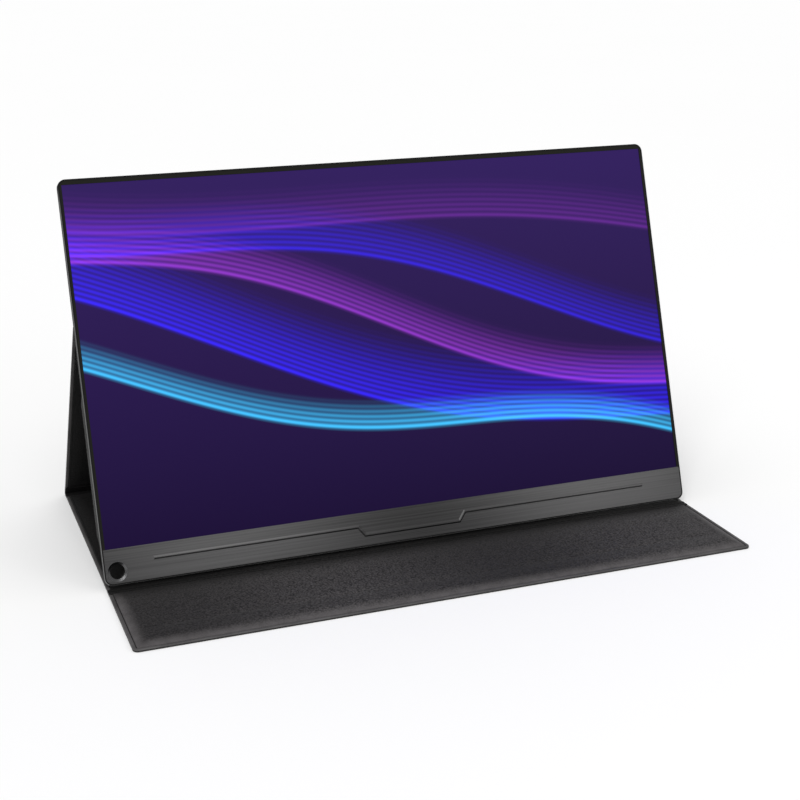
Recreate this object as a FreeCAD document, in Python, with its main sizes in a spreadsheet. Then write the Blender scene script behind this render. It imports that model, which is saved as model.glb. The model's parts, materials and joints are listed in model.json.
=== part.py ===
import FreeCAD, Part
import math
import os
import Sketcher

# Portable monitor on its folding cover, standing open as a picture stand.
# World frame: millimetres, +X to the viewer's right, +Y away from the viewer, +Z up.
# The origin lies on the table, below the middle of the outline.

V = FreeCAD.Vector
Rule = Sketcher.Constraint
QUARTER = math.pi / 2
NEAR = 1e-3

SIZES = [
    # the flat screen and its slim body
    ("screen_width", 344.2, "lit picture, across"),
    ("screen_height", 193.6, "lit picture, up the screen"),
    ("bezel_side", 2.2, "frame left and right of the picture"),
    ("bezel_top", 3.0, "frame above the picture"),
    ("chin", 19.4, "brushed bar below the picture"),
    ("corner_radius", 4.5, "outer corners of the body"),
    ("slab_depth", 4.2, "slim part of the body, front to back"),
    ("bay_depth", 8.8, "thick electronics bay, front to back"),
    ("bay_low", 22.0, "lower edge of the bay above the chin's edge"),
    ("bay_high", 102.0, "upper edge of the bay"),
    ("bay_slope", 5.0, "run of the bay's sloped lower and upper faces"),
    ("bay_wall", 1.5, "bay's sloped walls, along the back"),
    ("shell_wall", 1.0, "rear shell's side wall"),
    ("shell_back", 0.8, "rear shell's back wall"),
    ("edge_round", 1.2, "rounding of the shell's back edge"),
    ("edge_bevel", 0.35, "bright bevel round the shell's front edge"),
    ("fit_gap", 0.05, "gap between pieces glued or pressed together"),
    ("cut_past", 0.5, "cuts run past the faces they open"),
    # front frame and chin
    ("glass_recess", 0.5, "picture set back behind the frame's face"),
    ("bezel_depth", 2.2, "front frame, front to back"),
    ("bezel_skirt", 0.4, "frame's skirt beside the display panel"),
    ("bead_half", 146.5, "chin's raised line, half of its length"),
    ("bead_dip", 28.4, "half length of the line's low middle"),
    ("bead_run", 3.8, "run of the slope beside the low middle"),
    ("bead_rise", 11.8, "height of the line's outer lengths"),
    ("bead_low", 6.8, "height of the line's low middle"),
    ("bead_foot", 2.0, "raised line, across its foot"),
    ("bead_crest", 0.4, "raised line, across its flat crest"),
    ("bead_stand", 0.4, "raised line stands out of the chin plate"),
    # pen hole in the lower left corner
    ("pen_side", 7.4, "hole's centre from the body's left edge"),
    ("pen_rise", 7.2, "hole's centre above the chin's lower edge"),
    ("pen_radius", 4.0, "clear bore"),
    ("pen_wall", 1.2, "liner ring's barrel wall"),
    ("pen_flange", 0.4, "liner's flange beyond its barrel"),
    ("pen_flare", 1.2, "funnel's mouth beyond the bore"),
    ("pen_funnel", 0.75, "depth of the bright funnel before the bore"),
    # display panel layers, front to back
    ("cell_border", 0.5, "unlit rim of the display glass"),
    ("cell_gap", 0.3, "room above and below the display glass"),
    ("cell_thick", 0.8, "display glass"),
    ("film_thick", 0.2, "diffuser films"),
    ("guide_thick", 0.8, "light guide"),
    ("reflector_thick", 0.1, "reflector sheet"),
    ("tray_thick", 0.3, "steel tray behind the panel"),
    ("led_room", 2.0, "strip of lamps below the light guide"),
    ("led_inset", 4.0, "lamp strip's ends in from the tray's sides"),
    ("led_tape", 0.5, "lamp strip's tape, up from the tray's edge"),
    ("led_short", 0.2, "lamps stop short of the light guide"),
    ("led_count", 24, "lamps in the strip"),
    ("led_length", 4.0, "one lamp, along the strip"),
    ("plate_thick", 0.5, "steel plate the cover's magnets hold"),
    ("plate_side", 25.0, "steel plate in from the body's sides"),
    ("plate_top", 12.0, "steel plate below the body's top"),
    # boards in the bay
    ("pcb_thick", 0.9, "main board"),
    ("pcb_front", 4.0, "main board's face from the front"),
    ("pcb_width", 114.3, "main board, across"),
    ("pcb_side", 1.0, "main board in from the shell's inside"),
    ("pcb_below", 8.0, "main board's edge below the first socket"),
    ("pcb_above", 7.0, "main board's edge above the video socket"),
    ("post_side", 22.3, "outer posts in from the board's right edge"),
    ("post_left", 8.0, "inner posts in from the board's left edge"),
    ("post_edge", 5.0, "posts in from the board's lower and upper edges"),
    ("post_radius", 2.0, "board posts"),
    ("post_floor", 0.4, "posts' closed ends"),
    ("screw_radius", 0.9, "board screws"),
    ("screw_reach", 2.2, "board screws into their posts"),
    ("screw_head", 0.5, "board screws' heads"),
    ("chip_large", 14.0, "main chip, each way"),
    ("chip_small", 7.0, "smaller chips, each way"),
    ("chip_pitch", 17.0, "chips apart along the board"),
    ("chip_tall", 1.2, "chips stand off the board"),
    ("driver_low", 3.0, "display driver board above the chin's edge"),
    ("driver_tall", 12.0, "display driver board, up the screen"),
    ("driver_side", 53.3, "display driver board in from the shell's inside"),
    ("driver_thick", 0.8, "display driver board"),
    ("ribbon_left", 22.0, "flat cable in from the main board's left edge"),
    ("ribbon_width", 20.0, "flat cable, across"),
    ("ribbon_thick", 0.2, "flat cable"),
    ("ribbon_start", 1.0, "flat cable's slope starts below the main board"),
    ("ribbon_slope", 6.0, "run of the flat cable's slope"),
    ("ribbon_lap", 7.0, "flat cable's length on the main board"),
    # speakers
    ("speaker_side", 34.3, "speakers' centres in from the body's sides"),
    ("speaker_rise", 82.0, "speakers' centres above the chin's edge"),
    ("speaker_rim", 2.5, "speaker boxes beyond their grilles"),
    ("speaker_thick", 3.0, "speaker boxes, front to back"),
    ("speaker_mouth", 4.5, "radius of the speakers' mouths"),
    ("speaker_face", 0.8, "depth of the speakers' mouths"),
    ("grille_half", 17.0, "speaker grilles, half width"),
    ("grille_rise", 5.0, "speaker grilles, half height"),
    ("slot_count", 9, "slots in a grille"),
    ("slot_width", 1.4, "one slot, across"),
    ("slot_pitch", 3.4, "slots apart"),
    ("slot_rise", 3.5, "one slot, half height"),
    # sockets and keys in the right side
    ("socket_tall", 3.0, "data sockets, front to back"),
    ("socket_deep", 7.0, "data sockets, into the body"),
    ("socket_skin", 0.3, "data sockets' sheet metal"),
    ("socket_floor", 0.6, "data sockets' closed inner ends"),
    ("socket_inset", 0.1, "socket mouths in from the side's face"),
    ("tongue_long", 5.1, "sockets' tongues, from their inner ends"),
    ("tongue_half", 0.35, "sockets' tongues, half thickness"),
    ("usb_half", 4.45, "half width of the oval sockets"),
    ("usb_tongue", 3.35, "half width of the oval sockets' tongues"),
    ("hdmi_half", 5.3, "half width of the video socket"),
    ("hdmi_tongue", 3.8, "half width of the video socket's tongue"),
    ("hdmi_slope", 1.6, "run of the video socket's sloped corners"),
    ("hdmi_step", 1.2, "height of the video socket's sloped corners"),
    ("port_first", 36.0, "lower oval socket above the chin's edge"),
    ("port_second", 48.0, "upper oval socket"),
    ("port_video", 61.0, "video socket"),
    ("port_border", 2.0, "side strip beyond its first and last holes"),
    ("port_lip", 0.2, "side strip before and behind its holes"),
    ("key_first", 76.0, "power key above the chin's edge"),
    ("key_second", 87.0, "menu key"),
    ("key_half", 3.5, "half length of a key"),
    ("key_tall", 2.0, "key, front to back"),
    ("key_stand", 0.2, "key stands out of the side"),
    ("key_gap", 0.25, "gap round a key in its hole"),
    ("key_lip", 0.45, "key's flange beyond its outline"),
    ("key_flange", 0.6, "key's flange, thick"),
    ("key_rest", 0.1, "key's flange behind the side strip"),
    ("key_stem", 1.2, "key's stem, long"),
    ("key_stem_radius", 0.9, "key's stem"),
    ("key_travel", 0.5, "key's travel"),
    ("key_play", 0.2, "switch face beyond the key's travel"),
    ("switch_deep", 3.0, "switches, off their board"),
    ("switch_half", 2.0, "switches, half length"),
    ("switch_rise", 1.2, "switches, half height"),
    ("key_board_thick", 0.8, "board behind the switches"),
    ("key_board_over", 5.0, "that board beyond the keys' centres"),
    # folding cover
    ("skin_thick", 0.7, "outer leather"),
    ("board_thick", 1.2, "stiff board inside each panel"),
    ("lining_thick", 0.7, "inner lining"),
    ("cover_inset", 0.8, "cover's sides set in from the body's"),
    ("cover_over", 8.0, "closed cover is deeper than the body is tall"),
    ("flap_depth", 70.6, "flap before its fold"),
    ("flap_fold", 3.0, "flap's fold line before the chin's edge"),
    ("back_height", 71.3, "back panel, upper fold to free edge"),
    ("back_top", 3.0, "back panel's edge below the body's top"),
    ("back_inset", 5.0, "back panel's sides set in from the cover's"),
    ("back_gap", 0.2, "gap between back panel and body"),
    ("tilt", 18.8, "screen leans back, degrees"),
    ("seat_gap", 0.3, "screen's lower edge over its seat"),
    ("seat_depth", 4.6, "seat strip behind the chin's front edge"),
    ("crease_radius", 0.5, "pressed crease at the flap's fold"),
    ("fold_leg", 5.0, "soft fold strip on each side of a fold"),
    ("hem", 2.0, "flat pressed rim round each panel"),
    ("fold_hem", 1.2, "flat pressed rim of the flap along its fold"),
    ("bevel_run", 7.0, "slope from the rim up to the raised face"),
    ("board_foot", 0.8, "board's foot inside the rim"),
    ("board_head", 0.1, "board's upper edge inside the padded face"),
    ("cover_corner", 3.0, "panels' rounded corners"),
    ("score_out", 54.0, "pressed line on the flap, before the screen"),
    ("score_width", 1.2, "pressed line, across"),
    ("score_depth", 0.3, "pressed line, into the lining"),
    ("magnet_radius", 5.0, "magnets in the cover's boards"),
    ("magnet_side", 50.0, "outer magnets in from a panel's sides"),
    ("magnet_edge", 18.0, "flap's magnets in from its free edge"),
    ("flap_magnet_count", 4, "magnets in the flap"),
    ("back_magnet_count", 4, "magnets in the back panel"),
]

LAYOUT = [
    ("rim", "Sizes.skin_thick + Sizes.lining_thick"),
    ("panel_thick", "rim + Sizes.board_thick"),
    ("half_width", "Sizes.screen_width / 2 + Sizes.bezel_side"),
    ("body_height", "Sizes.chin + Sizes.screen_height + Sizes.bezel_top"),
    ("half_cover", "half_width - Sizes.cover_inset"),
    ("half_back", "half_cover - Sizes.back_inset"),
    # cover on the table, from its rear fold forward
    ("cover_depth", "body_height + Sizes.cover_over"),
    ("foot_y", "(cover_depth - rim) / 2"),
    ("flap_front", "foot_y - cover_depth"),
    ("flap_y", "flap_front + Sizes.flap_depth"),
    ("screen_y", "flap_y + Sizes.flap_fold"),
    ("base_front", "screen_y + Sizes.seat_depth"),
    # stand triangle: screen seat, upper fold and foot fold
    ("screen_z", "rim + Sizes.seat_gap + Sizes.slab_depth * sin(Sizes.tilt)"),
    ("apex_height", "body_height - Sizes.back_top - Sizes.back_height"),
    ("apex_back", "Sizes.slab_depth + Sizes.back_gap + panel_thick"),
    ("apex_y", "screen_y + apex_height * sin(Sizes.tilt) + apex_back * cos(Sizes.tilt)"),
    ("apex_z", "screen_z + apex_height * cos(Sizes.tilt) - apex_back * sin(Sizes.tilt)"),
    ("strut_span", "sqrt((foot_y - apex_y) ^ 2 + (apex_z - rim) ^ 2)"),
    ("strut_length", "sqrt(strut_span ^ 2 - rim ^ 2)"),
    ("stand_angle", "(asin((apex_z - rim) / strut_span) - atan(rim / strut_length)) / 1deg"),
    ("apex_angle", "90 - Sizes.tilt + stand_angle"),
    ("strut_y", "foot_y + rim * sin(stand_angle)"),
    ("strut_z", "rim + rim * cos(stand_angle)"),
    # display panel, as depths behind the body's face
    ("half_cell", "Sizes.screen_width / 2 + Sizes.cell_border"),
    ("cell_low", "Sizes.chin - Sizes.cell_border"),
    ("cell_high", "Sizes.chin + Sizes.screen_height + Sizes.cell_border"),
    ("cell_back", "Sizes.glass_recess + Sizes.cell_thick"),
    ("film_back", "cell_back + Sizes.film_thick"),
    ("guide_back", "film_back + Sizes.guide_thick"),
    ("reflector_back", "guide_back + Sizes.reflector_thick"),
    ("tray_back", "reflector_back + Sizes.tray_thick"),
    ("slab_room", "Sizes.slab_depth - Sizes.shell_back"),
    ("bay_room", "Sizes.bay_depth - Sizes.shell_back"),
    ("inner_half", "half_width - Sizes.shell_wall"),
    # electronics, from the right side inward
    ("pcb_back", "Sizes.pcb_front + Sizes.pcb_thick"),
    ("pcb_right", "inner_half - Sizes.pcb_side"),
    ("pcb_left", "pcb_right - Sizes.pcb_width"),
    ("pcb_low", "Sizes.port_first - Sizes.pcb_below"),
    ("pcb_high", "Sizes.port_video + Sizes.pcb_above"),
    ("chip_x", "(pcb_left + pcb_right) / 2"),
    ("chip_y", "(pcb_low + pcb_high) / 2"),
    ("driver_half", "inner_half - Sizes.driver_side"),
    ("driver_back", "Sizes.bezel_depth + Sizes.driver_thick"),
    ("socket_back", "pcb_back + Sizes.socket_tall"),
    ("socket_mid", "pcb_back + Sizes.socket_tall / 2"),
    ("socket_x", "half_width - Sizes.socket_inset - Sizes.socket_deep"),
    ("speaker_x", "half_width - Sizes.speaker_side"),
    ("key_foot", "inner_half - Sizes.key_rest - Sizes.key_flange"),
    ("key_tip", "key_foot - Sizes.key_stem"),
    ("switch_face", "key_tip - Sizes.key_travel - Sizes.key_play"),
    ("switch_back", "switch_face - Sizes.switch_deep"),
    # pen hole and the chin's raised line
    ("pen_x", "Sizes.pen_side - half_width"),
    ("pen_barrel", "Sizes.pen_radius + Sizes.pen_wall"),
    ("pen_rim", "pen_barrel + Sizes.pen_flange"),
    ("bead_mitre", "tan(atan((Sizes.bead_rise - Sizes.bead_low) / Sizes.bead_run) / 2)"),
]

# Where each group of pieces stands: depth and height of its origin and its turn about X.
FRAMES = {
    "table": ("0", "0", "0"),
    "foot": ("Layout.foot_y", "Layout.rim", "0"),
    "strut": ("Layout.strut_y", "Layout.strut_z", "180 - Layout.stand_angle"),
    "apex": ("Layout.apex_y", "Layout.apex_z", "-90 - Sizes.tilt"),
    "back": ("Layout.apex_y", "Layout.apex_z", "90 - Sizes.tilt"),
    "screen": ("Layout.screen_y", "Layout.screen_z", "90 - Sizes.tilt"),
}

# Spans shared by pieces that fit into one another.
PORT_SPAN = (
    "Sizes.port_first - Sizes.usb_half - Sizes.port_border",
    "Sizes.key_second + Sizes.key_half + Sizes.port_border",
)
PORT_DEPTH = ("-Layout.socket_back - Sizes.port_lip", "-Layout.pcb_back + Sizes.port_lip")
PEN_SPOT = [("Layout.pen_x", "Sizes.pen_rise")]
BOARD_LEVELS = ("Sizes.skin_thick", "Sizes.skin_thick + Sizes.board_thick")
SIDES = ("-", "")

doc = FreeCAD.newDocument("portable_monitor")
pieces = []


def make_sheets():
    """Driving sizes in one sheet, everything worked out from them in another."""
    sizes = doc.addObject("Spreadsheet::Sheet", "Sizes")
    for row, (name, value, note) in enumerate(SIZES, 1):
        sizes.set(f"A{row}", name)
        sizes.set(f"B{row}", str(value))
        sizes.set(f"C{row}", note)
        sizes.setAlias(f"B{row}", name)
    doc.recompute()
    layout = doc.addObject("Spreadsheet::Sheet", "Layout")
    for row, (name, formula) in enumerate(LAYOUT, 1):
        layout.set(f"A{row}", name)
        layout.set(f"B{row}", "=" + formula)
        layout.setAlias(f"B{row}", name)
    doc.recompute()
    return sizes


def number(formula):
    return float(sizes.evalExpression(formula))


def both_ways(half):
    """A span from minus to plus one formula."""
    return f"-({half})", half


def new_body(label, frame):
    """An empty sub-part standing in one of the frames above."""
    body = doc.addObject("PartDesign::Body", label)
    body.Label = label
    y, z, turn = FRAMES[frame]
    body.setExpression(
        "Placement", f"placement(vector(0; {y}; {z}); rotation(vector(1; 0; 0); {turn}))"
    )
    pieces.append(body)
    return body


def new_sketch(body, plane, out="0", across="0"):
    """A sketch on one of the body's own planes, moved out along its normal."""
    sketch = body.newObject("Sketcher::SketchObject", body.Label + "_outline")
    origin = next(part for part in body.Origin.OriginFeatures if part.Role == plane + "_Plane")
    sketch.AttachmentSupport = [(origin, "")]
    sketch.MapMode = "FlatFace"
    sketch.setExpression("AttachmentOffset.Base.z", out)
    sketch.setExpression("AttachmentOffset.Base.x", across)
    sketch.Visibility = False
    return sketch


def bind(sketch, rule, formula):
    index = sketch.addConstraint(rule)
    sketch.setExpression(f"Constraints[{index}]", formula)


def pin_point(sketch, line, end, x, y):
    """Hold one point of a sketch at two sheet formulas."""
    bind(sketch, Rule("DistanceX", -1, 1, line, end, number(x)), x)
    bind(sketch, Rule("DistanceY", -1, 1, line, end, number(y)), y)


def add_polygon(sketch, corners):
    """A closed outline of straight lines, every corner held by two formulas."""
    spots = [V(number(x), number(y), 0) for x, y in corners]
    first = sketch.GeometryCount
    count = len(corners)
    for index in range(count):
        sketch.addGeometry(Part.LineSegment(spots[index], spots[(index + 1) % count]), False)
    for index in range(count):
        following = first + (index + 1) % count
        sketch.addConstraint(Rule("Coincident", first + index, 2, following, 1))
    for index, (x, y) in enumerate(corners):
        pin_point(sketch, first + index, 1, x, y)


def rectangle(x0, x1, y0, y1):
    return [(x0, y0), (x1, y0), (x1, y1), (x0, y1)]


def add_circle(sketch, x, y, radius):
    spot = V(number(x), number(y), 0)
    line = sketch.addGeometry(Part.Circle(spot, V(0, 0, 1), number(radius)), False)
    bind(sketch, Rule("Radius", line, number(radius)), radius)
    pin_point(sketch, line, 3, x, y)


def add_oval(sketch, middle, rise, half, radius):
    """A long round-ended outline lying along the sketch's X."""
    x, y, r = number(middle), number(rise), number(radius)
    far = number(half) - r
    first = sketch.GeometryCount
    left = Part.Circle(V(x - far, y, 0), V(0, 0, 1), r)
    right = Part.Circle(V(x + far, y, 0), V(0, 0, 1), r)
    sketch.addGeometry(Part.ArcOfCircle(left, QUARTER, 3 * QUARTER), False)
    sketch.addGeometry(Part.LineSegment(V(x - far, y - r, 0), V(x + far, y - r, 0)), False)
    sketch.addGeometry(Part.ArcOfCircle(right, -QUARTER, QUARTER), False)
    sketch.addGeometry(Part.LineSegment(V(x + far, y + r, 0), V(x - far, y + r, 0)), False)
    for index in range(4):
        sketch.addConstraint(Rule("Tangent", first + index, 2, first + (index + 1) % 4, 1))
    for arc, way in ((first, "-"), (first + 2, "+")):
        bind(sketch, Rule("Radius", arc, r), radius)
        pin_point(sketch, arc, 3, f"{middle} {way} (({half}) - ({radius}))", rise)


def add_round_rectangle(sketch, x, y, radius):
    """A rectangle with four equal round corners, between two formulas each way."""
    r = number(radius)
    left, right = f"{x[0]} + ({radius})", f"{x[1]} - ({radius})"
    low, high = f"{y[0]} + ({radius})", f"{y[1]} - ({radius})"
    turns = [(right, low), (right, high), (left, high), (left, low)]
    centres = [V(number(a), number(b), 0) for a, b in turns]
    outward = [V(0, -r, 0), V(r, 0, 0), V(0, r, 0), V(-r, 0, 0)]
    for side in range(4):
        start, end = centres[side - 1] + outward[side], centres[side] + outward[side]
        sketch.addGeometry(Part.LineSegment(start, end), False)
        turn = Part.Circle(centres[side], V(0, 0, 1), r)
        sketch.addGeometry(Part.ArcOfCircle(turn, (side - 1) * QUARTER, side * QUARTER), False)
    for index in range(8):
        sketch.addConstraint(Rule("Tangent", index, 2, (index + 1) % 8, 1))
    for side, (a, b) in enumerate(turns):
        bind(sketch, Rule("Radius", 2 * side + 1, r), radius)
        pin_point(sketch, 2 * side + 1, 3, a, b)


def raise_sketch(body, sketch, length, cut=False):
    """Pad or pocket along the sketch's own normal."""
    kind = "PartDesign::Pocket" if cut else "PartDesign::Pad"
    feature = body.newObject(kind, body.Label + ("_cut" if cut else "_pad"))
    feature.Profile = sketch
    feature.Reversed = cut
    feature.setExpression("Length", length)
    doc.recompute()
    return feature


def blocks(body, spans, z, cut=False):
    """Boxes of one depth, each between two formulas each way, added or cut."""
    sketch = new_sketch(body, "XY", z[0])
    for span in spans:
        add_polygon(sketch, rectangle(*span))
    return raise_sketch(body, sketch, f"({z[1]}) - ({z[0]})", cut)


def block(body, x, y, z, cut=False):
    """One box between two formulas on each axis."""
    return blocks(body, [x + y], z, cut)


def discs(body, spots, radius, z, cut=False):
    """Round posts or holes of one size."""
    sketch = new_sketch(body, "XY", z[0])
    for x, y in spots:
        add_circle(sketch, x, y, radius)
    return raise_sketch(body, sketch, f"({z[1]}) - ({z[0]})", cut)


def loft(body, low, high, cut=False):
    """A form with straight slopes from one outline to another at another height."""
    sections = []
    for corners, z in (low, high):
        sketch = new_sketch(body, "XY", z)
        add_polygon(sketch, corners)
        sections.append(sketch)
    kind = "PartDesign::SubtractiveLoft" if cut else "PartDesign::AdditiveLoft"
    feature = body.newObject(kind, body.Label + "_slope")
    feature.Profile = sections[0]
    feature.Sections = [sections[1]]
    feature.Ruled = True
    doc.recompute()
    return feature


def finish_edges(body, kind, size, formula, chosen):
    """Round or bevel the edges of the body that the test picks."""
    base = body.Tip
    names = [f"Edge{i}" for i, edge in enumerate(base.Shape.Edges, 1) if chosen(edge)]
    if not names:
        raise RuntimeError(f"no edge to finish on {body.Label}")
    feature = body.newObject("PartDesign::" + kind, body.Label + "_" + kind.lower())
    feature.Base = (base, names)
    feature.setExpression(size, formula)
    doc.recompute()
    return feature


def upright_at(across, along):
    """Picks the edges that run straight through a panel at the given corners."""
    def chosen(edge):
        low, high = edge.Vertexes[0].Point, edge.Vertexes[-1].Point
        stands = math.hypot(low.x - high.x, low.y - high.y) < NEAR < abs(low.z - high.z)
        beside = abs(abs(low.x) - number(across)) < NEAR
        return stands and beside and any(abs(low.y - number(y)) < NEAR for y in along)
    return chosen


def lying_at(height):
    """Picks the edges that lie at one height of the body."""
    level = number(height)
    return lambda edge: all(abs(end.Point.z - level) < NEAR for end in edge.Vertexes)


def round_corners(body, across, along, radius):
    return finish_edges(body, "Fillet", "Radius", radius, upright_at(across, along))


def rear_shell():
    """Slim tray with a thicker bay across its lower half for the electronics."""
    body = new_body("rear_shell", "screen")
    width = both_ways("Layout.half_width")
    block(body, width, ("0", "Layout.body_height"), ("-Sizes.slab_depth", "0"))
    round_corners(body, "Layout.half_width", ["0", "Layout.body_height"], "Sizes.corner_radius")
    finish_edges(body, "Fillet", "Radius", "Sizes.edge_round", lying_at("-Sizes.slab_depth"))
    finish_edges(body, "Chamfer", "Size", "Sizes.edge_bevel", lying_at("0"))
    root = rectangle(*width, "Sizes.bay_low", "Sizes.bay_high")
    crown = rectangle(*width, "Sizes.bay_low + Sizes.bay_slope", "Sizes.bay_high - Sizes.bay_slope")
    loft(body, (root, "Sizes.edge_round + Sizes.fit_gap - Sizes.slab_depth"),
         (crown, "-Sizes.bay_depth"))
    hollow_shell(body)
    side = ("Layout.inner_half - Sizes.cut_past", "Layout.half_width + Sizes.cut_past")
    block(body, side, PORT_SPAN, PORT_DEPTH, cut=True)
    spans = [grille_span(way, "Sizes.fit_gap") for way in SIDES]
    blocks(body, spans,
           ("-Sizes.bay_depth - Sizes.cut_past", "-Layout.bay_room + Sizes.cut_past"), cut=True)
    discs(body, PEN_SPOT, "Layout.pen_barrel + Sizes.fit_gap",
          ("-Sizes.slab_depth - Sizes.cut_past", "-Layout.slab_room + Sizes.cut_past"), cut=True)


def hollow_shell(body):
    """Room for the display panel in the slab, and for the boards in the bay."""
    inside = both_ways("Layout.inner_half")
    span = ("Sizes.shell_wall", "Layout.body_height - Sizes.shell_wall")
    hollow = new_sketch(body, "XY", "-Layout.slab_room")
    add_round_rectangle(hollow, inside, span, "Sizes.corner_radius - Sizes.shell_wall")
    raise_sketch(body, hollow, "Layout.slab_room", cut=True)
    mouth = rectangle(*inside, "Sizes.bay_low + Sizes.bay_wall", "Sizes.bay_high - Sizes.bay_wall")
    floor = rectangle(*inside, "Sizes.bay_low + Sizes.bay_slope + Sizes.shell_wall",
                      "Sizes.bay_high - Sizes.bay_slope - Sizes.shell_wall")
    loft(body, (mouth, "-Layout.slab_room"), (floor, "-Layout.bay_room"), cut=True)


def grille_span(way, more="0"):
    """Outline of one speaker grille, left or right of the middle."""
    middle = f"{way}Layout.speaker_x"
    return (f"{middle} - Sizes.grille_half - {more}", f"{middle} + Sizes.grille_half + {more}",
            f"Sizes.speaker_rise - Sizes.grille_rise - {more}",
            f"Sizes.speaker_rise + Sizes.grille_rise + {more}")


def front_bezel():
    """Moulded frame round the picture, with the carrier behind the chin plate."""
    body = new_body("front_bezel", "screen")
    side, low = "Layout.inner_half - Sizes.fit_gap", "Sizes.shell_wall + Sizes.fit_gap"
    top = "Layout.body_height - Sizes.shell_wall - Sizes.fit_gap"
    whole = ("-Sizes.bezel_depth", "0")
    block(body, both_ways(side), (low, top), whole)
    round_corners(body, side, [low, top], "Sizes.corner_radius - Sizes.shell_wall")
    block(body, both_ways("Sizes.screen_width / 2"),
          ("Sizes.chin", "Sizes.chin + Sizes.screen_height"), whole, cut=True)
    block(body, both_ways(f"{side} - Sizes.bezel_skirt"),
          ("Layout.cell_low - Sizes.cell_gap", "Layout.cell_high + Sizes.cell_gap"),
          ("-Sizes.bezel_depth", "-Sizes.glass_recess"), cut=True)
    block(body, both_ways("Layout.half_width"), ("0", "Sizes.chin"),
          ("-Sizes.glass_recess", "0"), cut=True)
    discs(body, PEN_SPOT, "Layout.pen_barrel + Sizes.fit_gap", whole, cut=True)


def chin_plate():
    """Brushed bar below the picture, with a long raised line that dips in the middle."""
    body = new_body("chin_plate", "screen")
    side, low = "Layout.inner_half - Sizes.fit_gap", "Sizes.shell_wall + Sizes.fit_gap"
    block(body, both_ways(side), (low, "Sizes.chin"), ("-Sizes.glass_recess", "0"))
    round_corners(body, side, [low], "Sizes.corner_radius - Sizes.shell_wall")
    discs(body, PEN_SPOT, "Layout.pen_rim + Sizes.fit_gap", ("-Sizes.glass_recess", "0"), cut=True)
    loft(body, (bead_outline("Sizes.bead_foot / 2"), "0"),
         (bead_outline("Sizes.bead_crest / 2"), "Sizes.bead_stand"))


def bead_outline(half):
    """The raised line's outline where it is twice half across, with mitred bends."""
    upper = bead_edge(half, f"-({half}) * Layout.bead_mitre", half)
    lower = bead_edge(f"-({half})", f"({half}) * Layout.bead_mitre", half)
    return upper + lower[::-1]


def bead_edge(rise, bend, end):
    """One edge of the raised line, left to right, moved up by rise and out by bend."""
    right = [
        (f"Sizes.bead_dip + {bend}", f"Sizes.bead_low + {rise}"),
        (f"Sizes.bead_dip + Sizes.bead_run + {bend}", f"Sizes.bead_rise + {rise}"),
        (f"Sizes.bead_half + {end}", f"Sizes.bead_rise + {rise}"),
    ]
    left = [(f"-({x})", y) for x, y in right[::-1]]
    return left + right


def pen_ring():
    """Turned liner of the pen hole: barrel, flange and bright funnel."""
    body = new_body("pen_ring", "screen")
    sketch = new_sketch(body, "XZ", "-Sizes.pen_rise", "Layout.pen_x")
    add_polygon(sketch, [
        ("Sizes.pen_radius", "-Sizes.slab_depth"),
        ("Layout.pen_barrel", "-Sizes.slab_depth"),
        ("Layout.pen_barrel", "-Sizes.glass_recess"),
        ("Layout.pen_rim", "-Sizes.glass_recess"),
        ("Layout.pen_rim", "0"),
        ("Sizes.pen_radius + Sizes.pen_flare", "0"),
        ("Sizes.pen_radius", "-Sizes.pen_funnel"),
    ])
    turn = body.newObject("PartDesign::Revolution", "pen_ring_turn")
    turn.Profile = sketch
    turn.ReferenceAxis = (sketch, ["V_Axis"])
    turn.Angle = 360


def display_panel():
    """Display glass, films, light guide, reflector and lamps in their steel tray."""
    wide = both_ways("Layout.half_cell")
    tall = ("Layout.cell_low", "Layout.cell_high")
    block(new_body("lcd_cell", "screen"), wide, tall, ("-Layout.cell_back", "-Sizes.glass_recess"))
    tray = new_body("panel_tray", "screen")
    block(tray, wide, tall, ("-Layout.tray_back", "-Layout.cell_back"))
    room = "Layout.half_cell - Sizes.tray_thick"
    floor, roof = "Layout.cell_low + Sizes.tray_thick", "Layout.cell_high - Sizes.tray_thick"
    block(tray, both_ways(room), (floor, roof),
          ("-Layout.reflector_back", "-Layout.cell_back"), cut=True)
    sheet = both_ways(f"{room} - Sizes.fit_gap")
    span = (f"{floor} + Sizes.led_room", f"{roof} - Sizes.fit_gap")
    layers = [
        ("diffuser_films", "Layout.film_back", "Layout.cell_back"),
        ("light_guide", "Layout.guide_back", "Layout.film_back"),
        ("reflector_sheet", "Layout.reflector_back", "Layout.guide_back"),
    ]
    for label, back, front in layers:
        block(new_body(label, "screen"), sheet, span, (f"-{back}", f"-{front}"))
    led_strip(f"{room} - Sizes.led_inset", floor)


def led_strip(half, floor):
    """Flexible strip with its row of lamps shining up into the light guide."""
    body = new_body("led_strip", "screen")
    deep = ("-Layout.guide_back", "-Layout.film_back")
    tape = f"{floor} + Sizes.led_tape"
    block(body, both_ways(half), (f"{floor} + Sizes.fit_gap", tape), deep)
    lamp = block(body, (f"-({half})", f"-({half}) + Sizes.led_length"),
                 (tape, f"{floor} + Sizes.led_room - Sizes.led_short"), deep)
    row = body.newObject("PartDesign::LinearPattern", "led_row")
    row.Originals = [lamp]
    row.Direction = (lamp.Profile[0], ["H_Axis"])
    row.setExpression("Length", f"2 * ({half}) - Sizes.led_length")
    row.setExpression("Occurrences", "Sizes.led_count")
    body.Tip = row


def latch_plate():
    """Steel plate inside the shell that the cover's magnets hold on to."""
    body = new_body("latch_plate", "screen")
    block(body, both_ways("Layout.half_width - Sizes.plate_side"),
          ("Layout.apex_height + Sizes.fold_leg", "Layout.body_height - Sizes.plate_top"),
          ("-Layout.slab_room", "-Layout.slab_room + Sizes.plate_thick"))


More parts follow.
